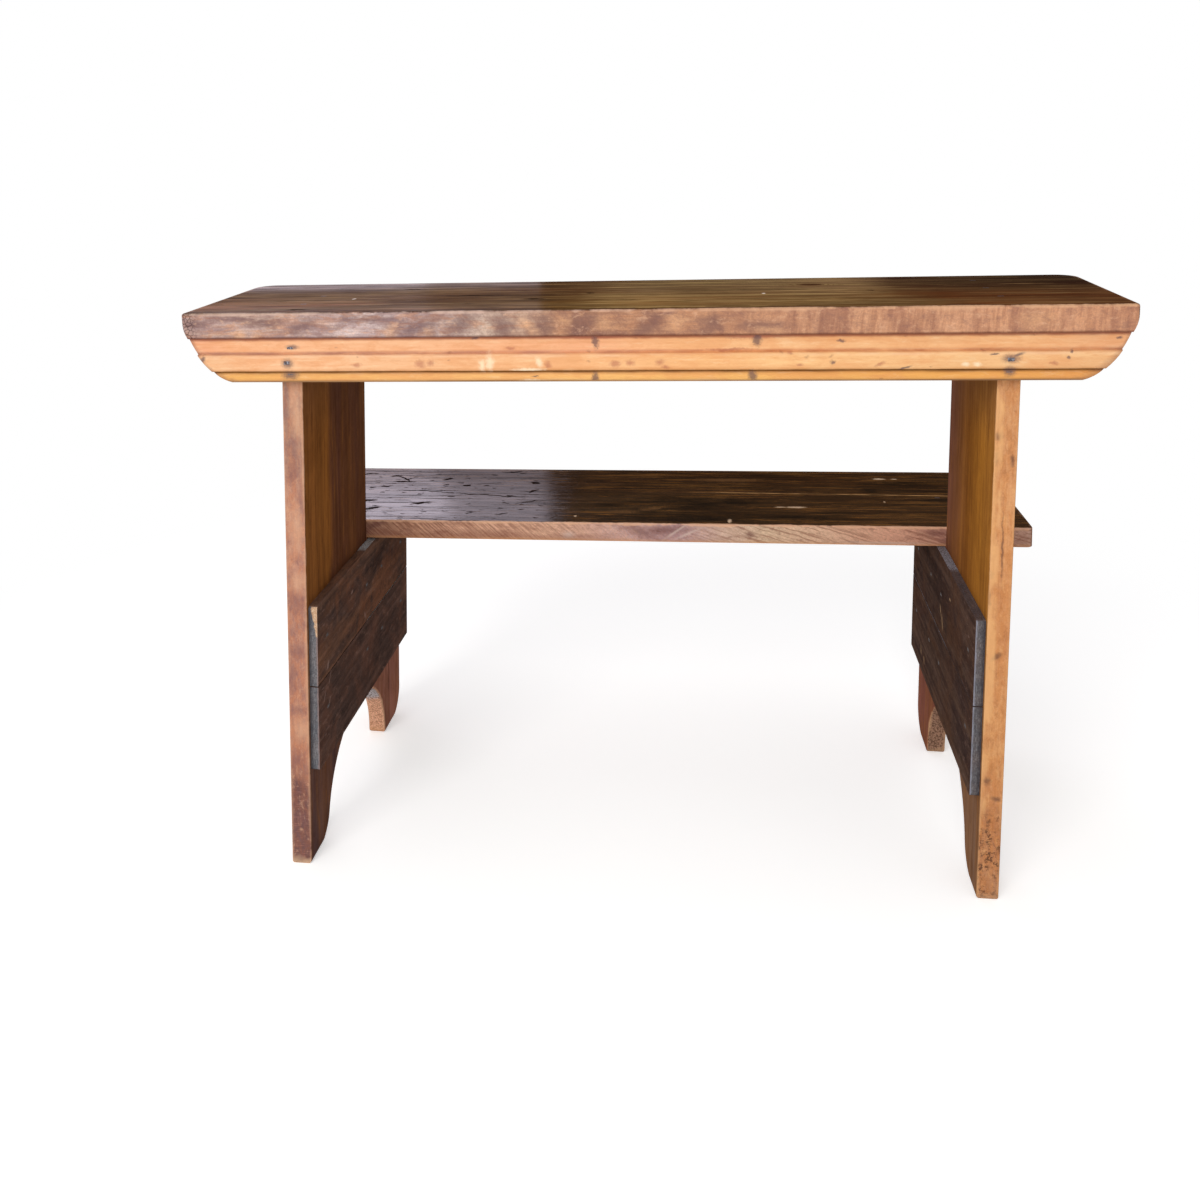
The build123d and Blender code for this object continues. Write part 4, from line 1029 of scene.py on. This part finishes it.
def shelf_edge(f, run, streak):
    """The front edge: tan, with slanting saw marks."""
    bench = f.bench
    edge = bench.along(run, SHELF_EDGE)
    fine, broad = bench.use(saw_streaks, coords=f.coords, pitch=260.0, slant=1.1)
    edge = f.aged(edge, 0.46, paint(146, 102, 88), paint(250, 206, 172),
                  stretch=(0.45, 1.0, 1.0))
    sawn = bench.along(f.x, [(-0.51, (255, 255, 255)), (-0.20, (230, 230, 230)),
                             (-0.05, (130, 130, 130)), (0.51, (150, 150, 150))])
    edge = bench.tint(edge, paint(122, 70, 46), bench.turned(fine), sawn, 0.78)
    edge = bench.tint(edge, paint(240, 188, 150), broad, fine, sawn, 0.4)
    # wavy lines of the grain, which climb a little to the left
    wavy = bench.add(f.z, bench.times(f.x, 0.3), bench.drift(f.coords, scale=30.0, reach=0.006))
    wavy = bench.noise(bench.vector(bench.times(f.x, 10.0), bench.times(wavy, 250.0), 0.0),
                       scale=1.0, detail=4.0, rough=0.7)
    wavy = bench.times(bench.rise(wavy, 0.5, 0.4),
                       bench.rise(f.x, 0.02, 0.14, low_out=0.25, high_out=0.85))
    edge = bench.tint(edge, paint(142, 88, 66), wavy, 0.7)
    edge = bench.tint(edge, paint(136, 94, 78), bench.turned(streak), 0.22)
    edge = bench.tint(edge, paint(130, 94, 84), bench.turned(f.speckle()), 0.22)
    dusty = bench.times(bench.window(f.x, -0.07, 0.07, soft=0.04),
                        bench.rise(bench.noise(f.coords, scale=420.0, detail=3.0, rough=0.7),
                                   0.45, 0.62))
    edge = bench.tint(edge, paint(176, 158, 162), dusty, 0.4)
    stain = marks(bench, f.on_front, SHELF_EDGE_DARK, soft=0.9, ragged=1.4, grit=160.0)
    edge = bench.tint(edge, paint(108, 66, 62), stain, 0.62)
    light = marks(bench, f.on_front, SHELF_EDGE_PALE, soft=0.8, ragged=1.4, grit=420.0)
    edge = bench.tint(edge, paint(214, 190, 178), light, 0.6)
    shadowed = bench.times(bench.rise(bench.unsteady(f.z, f.coords, scale=24.0, reach=0.016),
                                      shelf_low[2] + 0.014, shelf_low[2] + 0.006),
                           bench.rise(f.x, -0.12, -0.02, low_out=1.0, high_out=0.25))
    edge = bench.tint(edge, paint(128, 76, 60), shadowed, 0.45)
    lower = bench.fall(bench.unsteady(f.z, f.coords, scale=40.0, reach=0.004), shelf_low[2],
                       shelf_low[2] + 0.005)
    edge = bench.tint(edge, paint(206, 148, 100), lower, 0.5)
    return edge, bench.turned(fine)


def finish_shelf():
    """The shelf plank, with bare ends, underside and back and pale worn arrises."""
    f = Finish("waxed_shelf")
    bench = f.bench
    fibre, streak, figure, pores = bench.use(grain, coords=f.coords, along=6.0, across=75.0,
                                             seed=4.8)
    run = bench.unsteady(f.x, f.coords, scale=7.0, reach=0.08)
    face, hurt, ridge, chips = shelf_face(f, run, streak, figure, pores)
    edge, saw_cuts = shelf_edge(f, run, streak)
    colour = bench.mix(f.front, face, edge)
    colour = bench.mix(f.ends, colour, raw_end(bench, f.y, f.z, paint(96, 62, 48),
                                               paint(172, 124, 96)))
    colour = bench.mix(f.rear, colour, bench.mix(streak, paint(104, 70, 46), paint(172, 124, 86)))
    rough_saw = bench.use(saw_streaks, coords=bench.vector(f.x, f.z, f.y), pitch=240.0,
                          slant=-0.2)[0]
    raw = bench.mix(streak, paint(88, 60, 42), paint(136, 100, 70))
    raw = bench.tint(raw, paint(74, 50, 36), bench.turned(rough_saw), 0.35)
    raw = knotty(bench, raw, f.on_top, SHELF_KNOTS)
    colour = bench.mix(f.below, colour, raw)
    # worn arrises
    to_face = bench.size(bench.less(shelf_high[2], f.z))
    to_front = bench.size(bench.less(f.y, shelf_low[1]))
    worn = f.wear(bench.add(to_front, to_face), 0.0036)
    colour = bench.mix(bench.least(bench.times(worn, 1.3), 0.7), colour, paint(238, 186, 150))
    to_rear = bench.size(bench.less(f.y, shelf_high[1]))
    worn_rear = f.wear(bench.add(to_rear, to_face), 0.006)
    colour = bench.tint(colour, paint(166, 120, 88), worn_rear, 0.6)
    to_end = bench.least(bench.size(bench.less(f.x, shelf_low[0])),
                         bench.size(bench.less(f.x, shelf_high[0])))
    worn_end = f.wear(bench.add(to_end, to_face), 0.0056)
    colour = bench.tint(colour, paint(176, 128, 98), worn_end, 0.5)
    relief = bench.add(bench.times(fibre, 0.25), bench.times(pores, -0.2),
                       bench.times(hurt, -1.2), bench.times(ridge, 0.5),
                       bench.times(saw_cuts, f.front, -0.4))
    rough = bench.add(0.50, bench.times(f.front, 0.10), bench.times(hurt, 0.2))
    unworn = bench.turned(bench.either(hurt, bench.times(chips, 0.8)))
    wax = bench.times(f.up, unworn, bench.add(0.9, bench.times(streak, 0.3)),
                      bench.rise(f.y, shelf_low[1] + 0.05, shelf_high[1], low_out=1.0,
                                 high_out=0.48))
    give("shelf_plank", f.wood(colour, rough, relief, coat=wax, coat_roughness=0.10))


# ---------------------------------------------------------------- battens

LEFT_BATTEN_PALE = [(-0.089, 0.302, 0.004, 0.002, 10), (-0.039, 0.246, 0.002, 0.004, 20),
                    (-0.178, 0.246, 0.005, 0.0025, 60), (-0.172, 0.226, 0.008, 0.001, 60),
                    (-0.19, 0.21, 0.006, 0.001, 70), (-0.174, 0.196, 0.005, 0.001, 60)]
RIGHT_BATTEN_PALE = [(-0.042, 0.256, 0.002, 0.009, -25), (-0.03, 0.268, 0.0015, 0.007, -25),
                     (0.085, 0.153, 0.0015, 0.006, -20), (0.063, 0.15, 0.0015, 0.005, -20),
                     (-0.081, 0.305, 0.0035, 0.0015, 0), (-0.195, 0.124, 0.003, 0.002, 0)]
CHIP_LOW, CHIP_HIGH = 0.299, 0.338         # heights of the torn corner of one batten


def finish_batten(name, node, side, seed, tints):
    """A dark cross batten: side is -1 at the left end and 1 at the right one."""
    f = Finish(name)
    bench = f.bench
    grained = bench.vector(f.y, f.z, f.x)
    fibre, streak, figure, pores = bench.use(grain, coords=grained, along=7.0, across=110.0,
                                             seed=seed)
    colour = bench.mix(figure, tints["dark"], tints["mid"])
    colour = bench.tint(colour, paint(38, 26, 22), bench.turned(streak), 0.45)
    warm = bench.use(blotches, coords=grained, scale=13.0, cover=0.40, soft=0.12, seed=seed)[0]
    colour = bench.tint(colour, tints["warm"], warm, 0.5)
    on_side = bench.vector(f.y, f.z)
    dents = bench.use(knocks, coords=grained, stretch=0.5, scale=110.0, sparseness=0.86,
                      size=0.13)[0]
    colour = bench.tint(colour, paint(140, 112, 104), dents, 0.22)
    colour = f.aged(colour, 0.42, tints["dirt"], tints["fleck"], stretch=(1.0, 0.45, 0.8),
                    scale=130.0)
    # knocks at the front end lay the grain bare
    near = bench.fall(bench.unsteady(f.y, grained, scale=30.0, reach=0.05), -0.19, -0.1)
    scratch = bench.streaks(grained, (60.0, 260.0, 60.0), detail=3.0, rough=0.7)
    colour = bench.tint(colour, paint(158, 128, 118), near, bench.rise(scratch, 0.58, 0.7), 0.3)
    scraped = marks(bench, on_side, tints["pale"], soft=0.6, ragged=1.8, grit=260.0)
    colour = bench.tint(colour, tints["scrape"], scraped, 0.6)
    # dusty grey end grain at the front ends and along the top edge
    end = bench.rise(bench.size(f.facing_y), 0.5, 0.8)
    speck = bench.rise(bench.noise(f.coords, scale=520.0, detail=4.0, rough=0.8), 0.38, 0.62)
    threads = bench.streaks(f.coords, (900.0, 900.0, 130.0), detail=3.0, rough=0.7)
    grey = bench.mix(bench.rise(bench.noise(f.coords, scale=46.0, detail=3.0), 0.35, 0.65),
                     tints["end"], tints["end_low"])
    grey = bench.tint(grey, tints["end_dark"], bench.turned(speck), 0.5)
    grey = bench.tint(grey, tints["end_pale"], bench.rise(threads, 0.5, 0.62), 0.4)
    colour = bench.mix(end, colour, grey)
    _, depth = into_end(f, side)
    proud = bench.less(depth, BOARD)
    rim = bench.unsteady(proud, f.coords, scale=120.0, reach=0.003)
    # painted shade in the corner where each front end meets the end board
    colour = bench.tint(colour, tints["end_dark"], end, bench.rise(rim, 0.0055, 0.0015), 0.55)
    colour = bench.tint(colour, tints["arris"], end, bench.rise(rim, 0.0088, 0.0102), 0.5)
    ledge = bench.rise(f.facing_z, 0.5, 0.8)
    dusty = bench.mix(speck, tints["ledge_dark"], tints["ledge"])
    bare = bench.times(bench.rise(bench.unsteady(f.y, f.coords, scale=50.0, reach=0.02),
                                  tints["ledge_from"] - 0.01, tints["ledge_from"] + 0.01),
                       tints["ledge_bare"])
    colour = bench.tint(colour, dusty, ledge, bench.add(tints["ledge_worn"], bare))
    if tints.get("chip"):
        # a pale torn corner, wider towards its top
        taper = bench.add(bench.times(proud, 90.0), bench.times(bench.less(f.z, 0.343), 16.0),
                          bench.drift(f.coords, scale=150.0, reach=0.4))
        chip = bench.times(bench.rise(taper, 0.1, 0.24), end,
                           bench.rise(f.z, CHIP_LOW - 0.002, CHIP_LOW + 0.002),
                           bench.fall(f.z, CHIP_HIGH - 0.001, CHIP_HIGH + 0.001))
        colour = bench.tint(colour, bench.mix(speck, paint(208, 158, 120),
                                              paint(240, 206, 172)), chip, 0.92)
    relief = bench.add(bench.times(fibre, 0.4), bench.times(pores, -0.3),
                       bench.times(dents, -0.5), bench.times(speck, end, 0.5))
    rough = bench.add(0.55, bench.times(end, 0.25), bench.times(bench.turned(streak), 0.1))
    give(node, f.wood(colour, rough, relief))


LEFT_BATTEN = {"dark": paint(86, 68, 62), "mid": paint(134, 98, 78), "warm": paint(138, 90, 64),
               "dirt": paint(56, 44, 42), "fleck": paint(140, 108, 94), "pale": LEFT_BATTEN_PALE,
               "scrape": paint(160, 132, 122), "end": paint(112, 114, 120),
               "end_low": paint(132, 128, 130), "end_dark": paint(66, 62, 66),
               "end_pale": paint(170, 168, 172), "ledge": paint(206, 210, 214),
               "ledge_dark": paint(120, 114, 112), "ledge_from": -0.03, "ledge_worn": 0.0,
               "ledge_bare": 0.95, "arris": paint(174, 144, 138)}
RIGHT_BATTEN = {"dark": paint(72, 56, 52), "mid": paint(102, 80, 68), "warm": paint(96, 66, 48),
                "dirt": paint(44, 32, 32), "fleck": paint(108, 86, 74),
                "pale": RIGHT_BATTEN_PALE,
                "scrape": paint(204, 168, 128), "end": paint(106, 104, 108),
                "end_low": paint(124, 114, 112), "end_dark": paint(60, 54, 58),
                "end_pale": paint(164, 164, 168), "ledge": paint(166, 166, 178),
                "ledge_dark": paint(96, 86, 86), "ledge_from": -0.07, "ledge_worn": 0.16,
                "ledge_bare": 0.7, "arris": paint(176, 178, 196)}


# ---------------------------------------------------------------- nails

def finish_nails(name, nodes, iron, rusty, painted_glint):
    """Cut nails: iron with rust over it in patches, and painted glints."""
    f = Finish(name)
    bench = f.bench
    rust = bench.use(blotches, coords=f.coords, scale=420.0, cover=0.5, soft=0.12, seed=1.0)[0]
    colour = bench.mix(rust, iron, rusty)
    # painted glints: pale specks mixed into the iron's colour
    painted_glint_spots = bench.rise(bench.noise(f.coords, scale=700.0, detail=2.0), 0.45, 0.65)
    colour = bench.tint(colour, painted_glint, painted_glint_spots, 0.5)
    bump = bench.node("ShaderNodeBump", {"Height": rust, "Strength": 1.0, "Distance": 0.0003})
    shader = bench.node("ShaderNodeBsdfPrincipled", {
        "Base Color": colour, "Roughness": bench.add(0.5, bench.times(rust, 0.3)),
        "Metallic": bench.times(bench.turned(rust), 0.6), "Normal": bump.outputs[0]})
    out = bench.node("ShaderNodeOutputMaterial")
    bench.put(out.inputs["Surface"], shader.outputs[0])
    for node in nodes:
        give(node, f.material)


finish_top()
finish_apron()
finish_end_board("left_end_front", -1, "left_leg_front_board", LEFT_TONES)
finish_end_board("left_end_rear", -1, "left_leg_rear_board", LEFT_REAR_TONES)
finish_end_board("right_end_front", 1, "right_leg_front_board", RIGHT_TONES)
finish_end_board("right_end_rear", 1, "right_leg_rear_board", RIGHT_REAR_TONES)
finish_shelf()
finish_batten("left_batten_low", "left_batten_lower", -1, 2.5,
              dict(LEFT_BATTEN, mid=paint(112, 86, 76), warm=paint(120, 82, 66)))
finish_batten("left_batten_high", "left_batten_upper", -1, 3.5, dict(LEFT_BATTEN, chip=True))
finish_batten("right_batten_low", "right_batten_lower", 1, 4.5, RIGHT_BATTEN)
finish_batten("right_batten_high", "right_batten_upper", 1, 5.5, RIGHT_BATTEN)
finish_nails("bright_iron", ["apron_nails"], paint(92, 90, 96), paint(74, 54, 48),
             paint(196, 196, 204))
finish_nails("blackened_iron", ["top_nails", "shelf_nails", "left_batten_nails",
                                "right_batten_nails"],
             paint(62, 54, 52), paint(56, 42, 36), paint(92, 82, 80))


# ---------------------------------------------------------------- floor, light, camera

WHITE = (1.0, 1.0, 1.0, 1.0)
FLOOR_REACH = 60.0
FLOOR_GLOW = 0.41                          # added where the floor is seen, to bring it to white
FLOOR_GREY = (0.88, 0.88, 0.88, 1.0)
FADE_FROM, FADE_TO = 0.75, 1.5             # from the middle: where the floor turns plain white


def lay_floor():
    """A white floor, lifted a little where it is seen, that keeps the bench's shadow."""
    mesh = bpy.data.meshes.new("floor")
    corners = [(-FLOOR_REACH, -FLOOR_REACH, 0), (FLOOR_REACH, -FLOOR_REACH, 0),
               (FLOOR_REACH, FLOOR_REACH, 0), (-FLOOR_REACH, FLOOR_REACH, 0)]
    mesh.from_pydata(corners, [], [(0, 1, 2, 3)])
    floor = bpy.data.objects.new("floor", mesh)
    bpy.context.scene.collection.objects.link(floor)
    material = bpy.data.materials.new("pale_floor")
    material.use_nodes = True
    material.node_tree.nodes.clear()
    bench = Bench(material.node_tree)
    path = bench.node("ShaderNodeLightPath").outputs
    seen = bench.either(path["Is Camera Ray"], path["Is Glossy Ray"],
                        path["Is Transmission Ray"])
    cloth = bench.node("ShaderNodeBsdfDiffuse", {"Color": FLOOR_GREY}).outputs[0]
    glow = bench.node("ShaderNodeEmission", {
        "Color": WHITE, "Strength": bench.times(seen, FLOOR_GLOW)}).outputs[0]
    both = bench.node("ShaderNodeAddShader")
    bench.put(both.inputs[0], cloth)
    bench.put(both.inputs[1], glow)
    # farther off, the floor fades into the white surroundings
    place = bench.node("ShaderNodeTexCoord").outputs["Object"]
    distance = bench.vectors("LENGTH", place, (0, 0, 0))
    fade = bench.times(bench.rise(distance, FADE_FROM, FADE_TO), path["Is Camera Ray"])
    white = bench.node("ShaderNodeEmission", {"Color": WHITE, "Strength": 1.0}).outputs[0]
    blend = bench.node("ShaderNodeMixShader", {"Fac": fade})
    bench.put(blend.inputs[1], both.outputs[0])
    bench.put(blend.inputs[2], white)
    out = bench.node("ShaderNodeOutputMaterial")
    bench.put(out.inputs["Surface"], blend.outputs[0])
    mesh.materials.append(material)


LAMP_AIM = (0.0, 0.0, 0.4)                 # the middle of the bench


def soft_box(name, place, width, height, power, colour):
    """A rectangular lamp turned to the middle of the bench."""
    lamp = bpy.data.lights.new(name, "AREA")
    lamp.shape = "RECTANGLE"
    lamp.size, lamp.size_y = width, height
    lamp.energy = power
    lamp.color = colour
    box = bpy.data.objects.new(name, lamp)
    bpy.context.scene.collection.objects.link(box)
    box.location = place
    box.rotation_euler = (Vector(LAMP_AIM) - Vector(place)).to_track_quat("-Z", "Y").to_euler()


SCREEN_BACK = 2.6                          # where the screen stands, behind the bench
SCREEN_LEFT, SCREEN_RIGHT = -0.605, 5.0
SCREEN_LOW, SCREEN_HIGH = -1.5, 4.0
SCREEN_COLOUR = (0.03, 0.024, 0.018, 1.0)


def dark_screen():
    """A studio flag behind the right half, seen only in the wax's reflections."""
    mesh = bpy.data.meshes.new("dark_screen")
    corners = [(SCREEN_LEFT, SCREEN_BACK, SCREEN_LOW), (SCREEN_RIGHT, SCREEN_BACK, SCREEN_LOW),
               (SCREEN_RIGHT, SCREEN_BACK, SCREEN_HIGH), (SCREEN_LEFT, SCREEN_BACK, SCREEN_HIGH)]
    mesh.from_pydata(corners, [], [(0, 1, 2, 3)])
    screen = bpy.data.objects.new("dark_screen", mesh)
    bpy.context.scene.collection.objects.link(screen)
    material = bpy.data.materials.new("black_cloth")
    material.use_nodes = True
    material.node_tree.nodes.clear()
    bench = Bench(material.node_tree)
    dim = bench.node("ShaderNodeEmission", {"Color": SCREEN_COLOUR}).outputs[0]
    out = bench.node("ShaderNodeOutputMaterial")
    bench.put(out.inputs["Surface"], dim)
    mesh.materials.append(material)
    screen.visible_camera = False
    screen.visible_diffuse = False
    screen.visible_shadow = False
    screen.visible_transmission = False


SKY_LIGHT = 0.55                           # what lights the bench; it is seen at full white
SKY_IN_SHEEN = (0.94, 0.85, 1.0, 1.0)      # the colour that the waxed faces reflect


def light_world():
    """White surroundings, dimmer as a lamp than as they are seen."""
    world = bpy.data.worlds.new("white_room")
    bpy.context.scene.world = world
    world.use_nodes = True
    world.node_tree.nodes.clear()
    bench = Bench(world.node_tree)
    path = bench.node("ShaderNodeLightPath").outputs
    seen = bench.either(path["Is Camera Ray"], path["Is Glossy Ray"],
                        path["Is Transmission Ray"])
    strength = bench.add(SKY_LIGHT, bench.times(seen, 1.0 - SKY_LIGHT))
    colour = bench.mix(path["Is Glossy Ray"], WHITE, SKY_IN_SHEEN)
    sky = bench.node("ShaderNodeBackground", {"Color": colour, "Strength": strength})
    out = bench.node("ShaderNodeOutputWorld")
    bench.put(out.inputs["Surface"], sky.outputs[0])


LENS, SENSOR = 31.106, 36.0                # millimetres
SHIFT_Y = -0.27083                         # the frame's shift, in widths of the sensor
FARTHEST = 200.0                           # metres
EYE = (0.09386, -1.36547, 0.89089)
# which way the camera's own axes point
EYE_RIGHT = (0.993252, 0.112243, -0.029173)
EYE_UP = (0.014419, 0.130079, 0.991399)
EYE_BACK = (0.115073, -0.985130, 0.127583)


def set_camera():
    """The camera, a little right of the middle and above the bench's top."""
    lens = bpy.data.cameras.new("camera")
    lens.sensor_width = SENSOR
    lens.lens = LENS
    lens.shift_y = SHIFT_Y
    lens.clip_end = FARTHEST
    eye = bpy.data.objects.new("camera", lens)
    bpy.context.scene.collection.objects.link(eye)
    turn = Matrix((EYE_RIGHT, EYE_UP, EYE_BACK)).transposed().to_4x4()
    eye.matrix_world = Matrix.Translation(EYE) @ turn
    bpy.context.scene.camera = eye


lay_floor()
dark_screen()
light_world()
soft_box("front_soft_box", place=(-0.9, -3.0, 2.4), width=2.6, height=2.0, power=70.0,
         colour=(1.0, 0.985, 0.96))
soft_box("back_soft_box", place=(-2.2, 2.5, 1.6), width=2.6, height=2.2, power=20.0,
         colour=(0.93, 0.85, 1.0))
set_camera()
bpy.context.scene.view_settings.view_transform = "Standard"
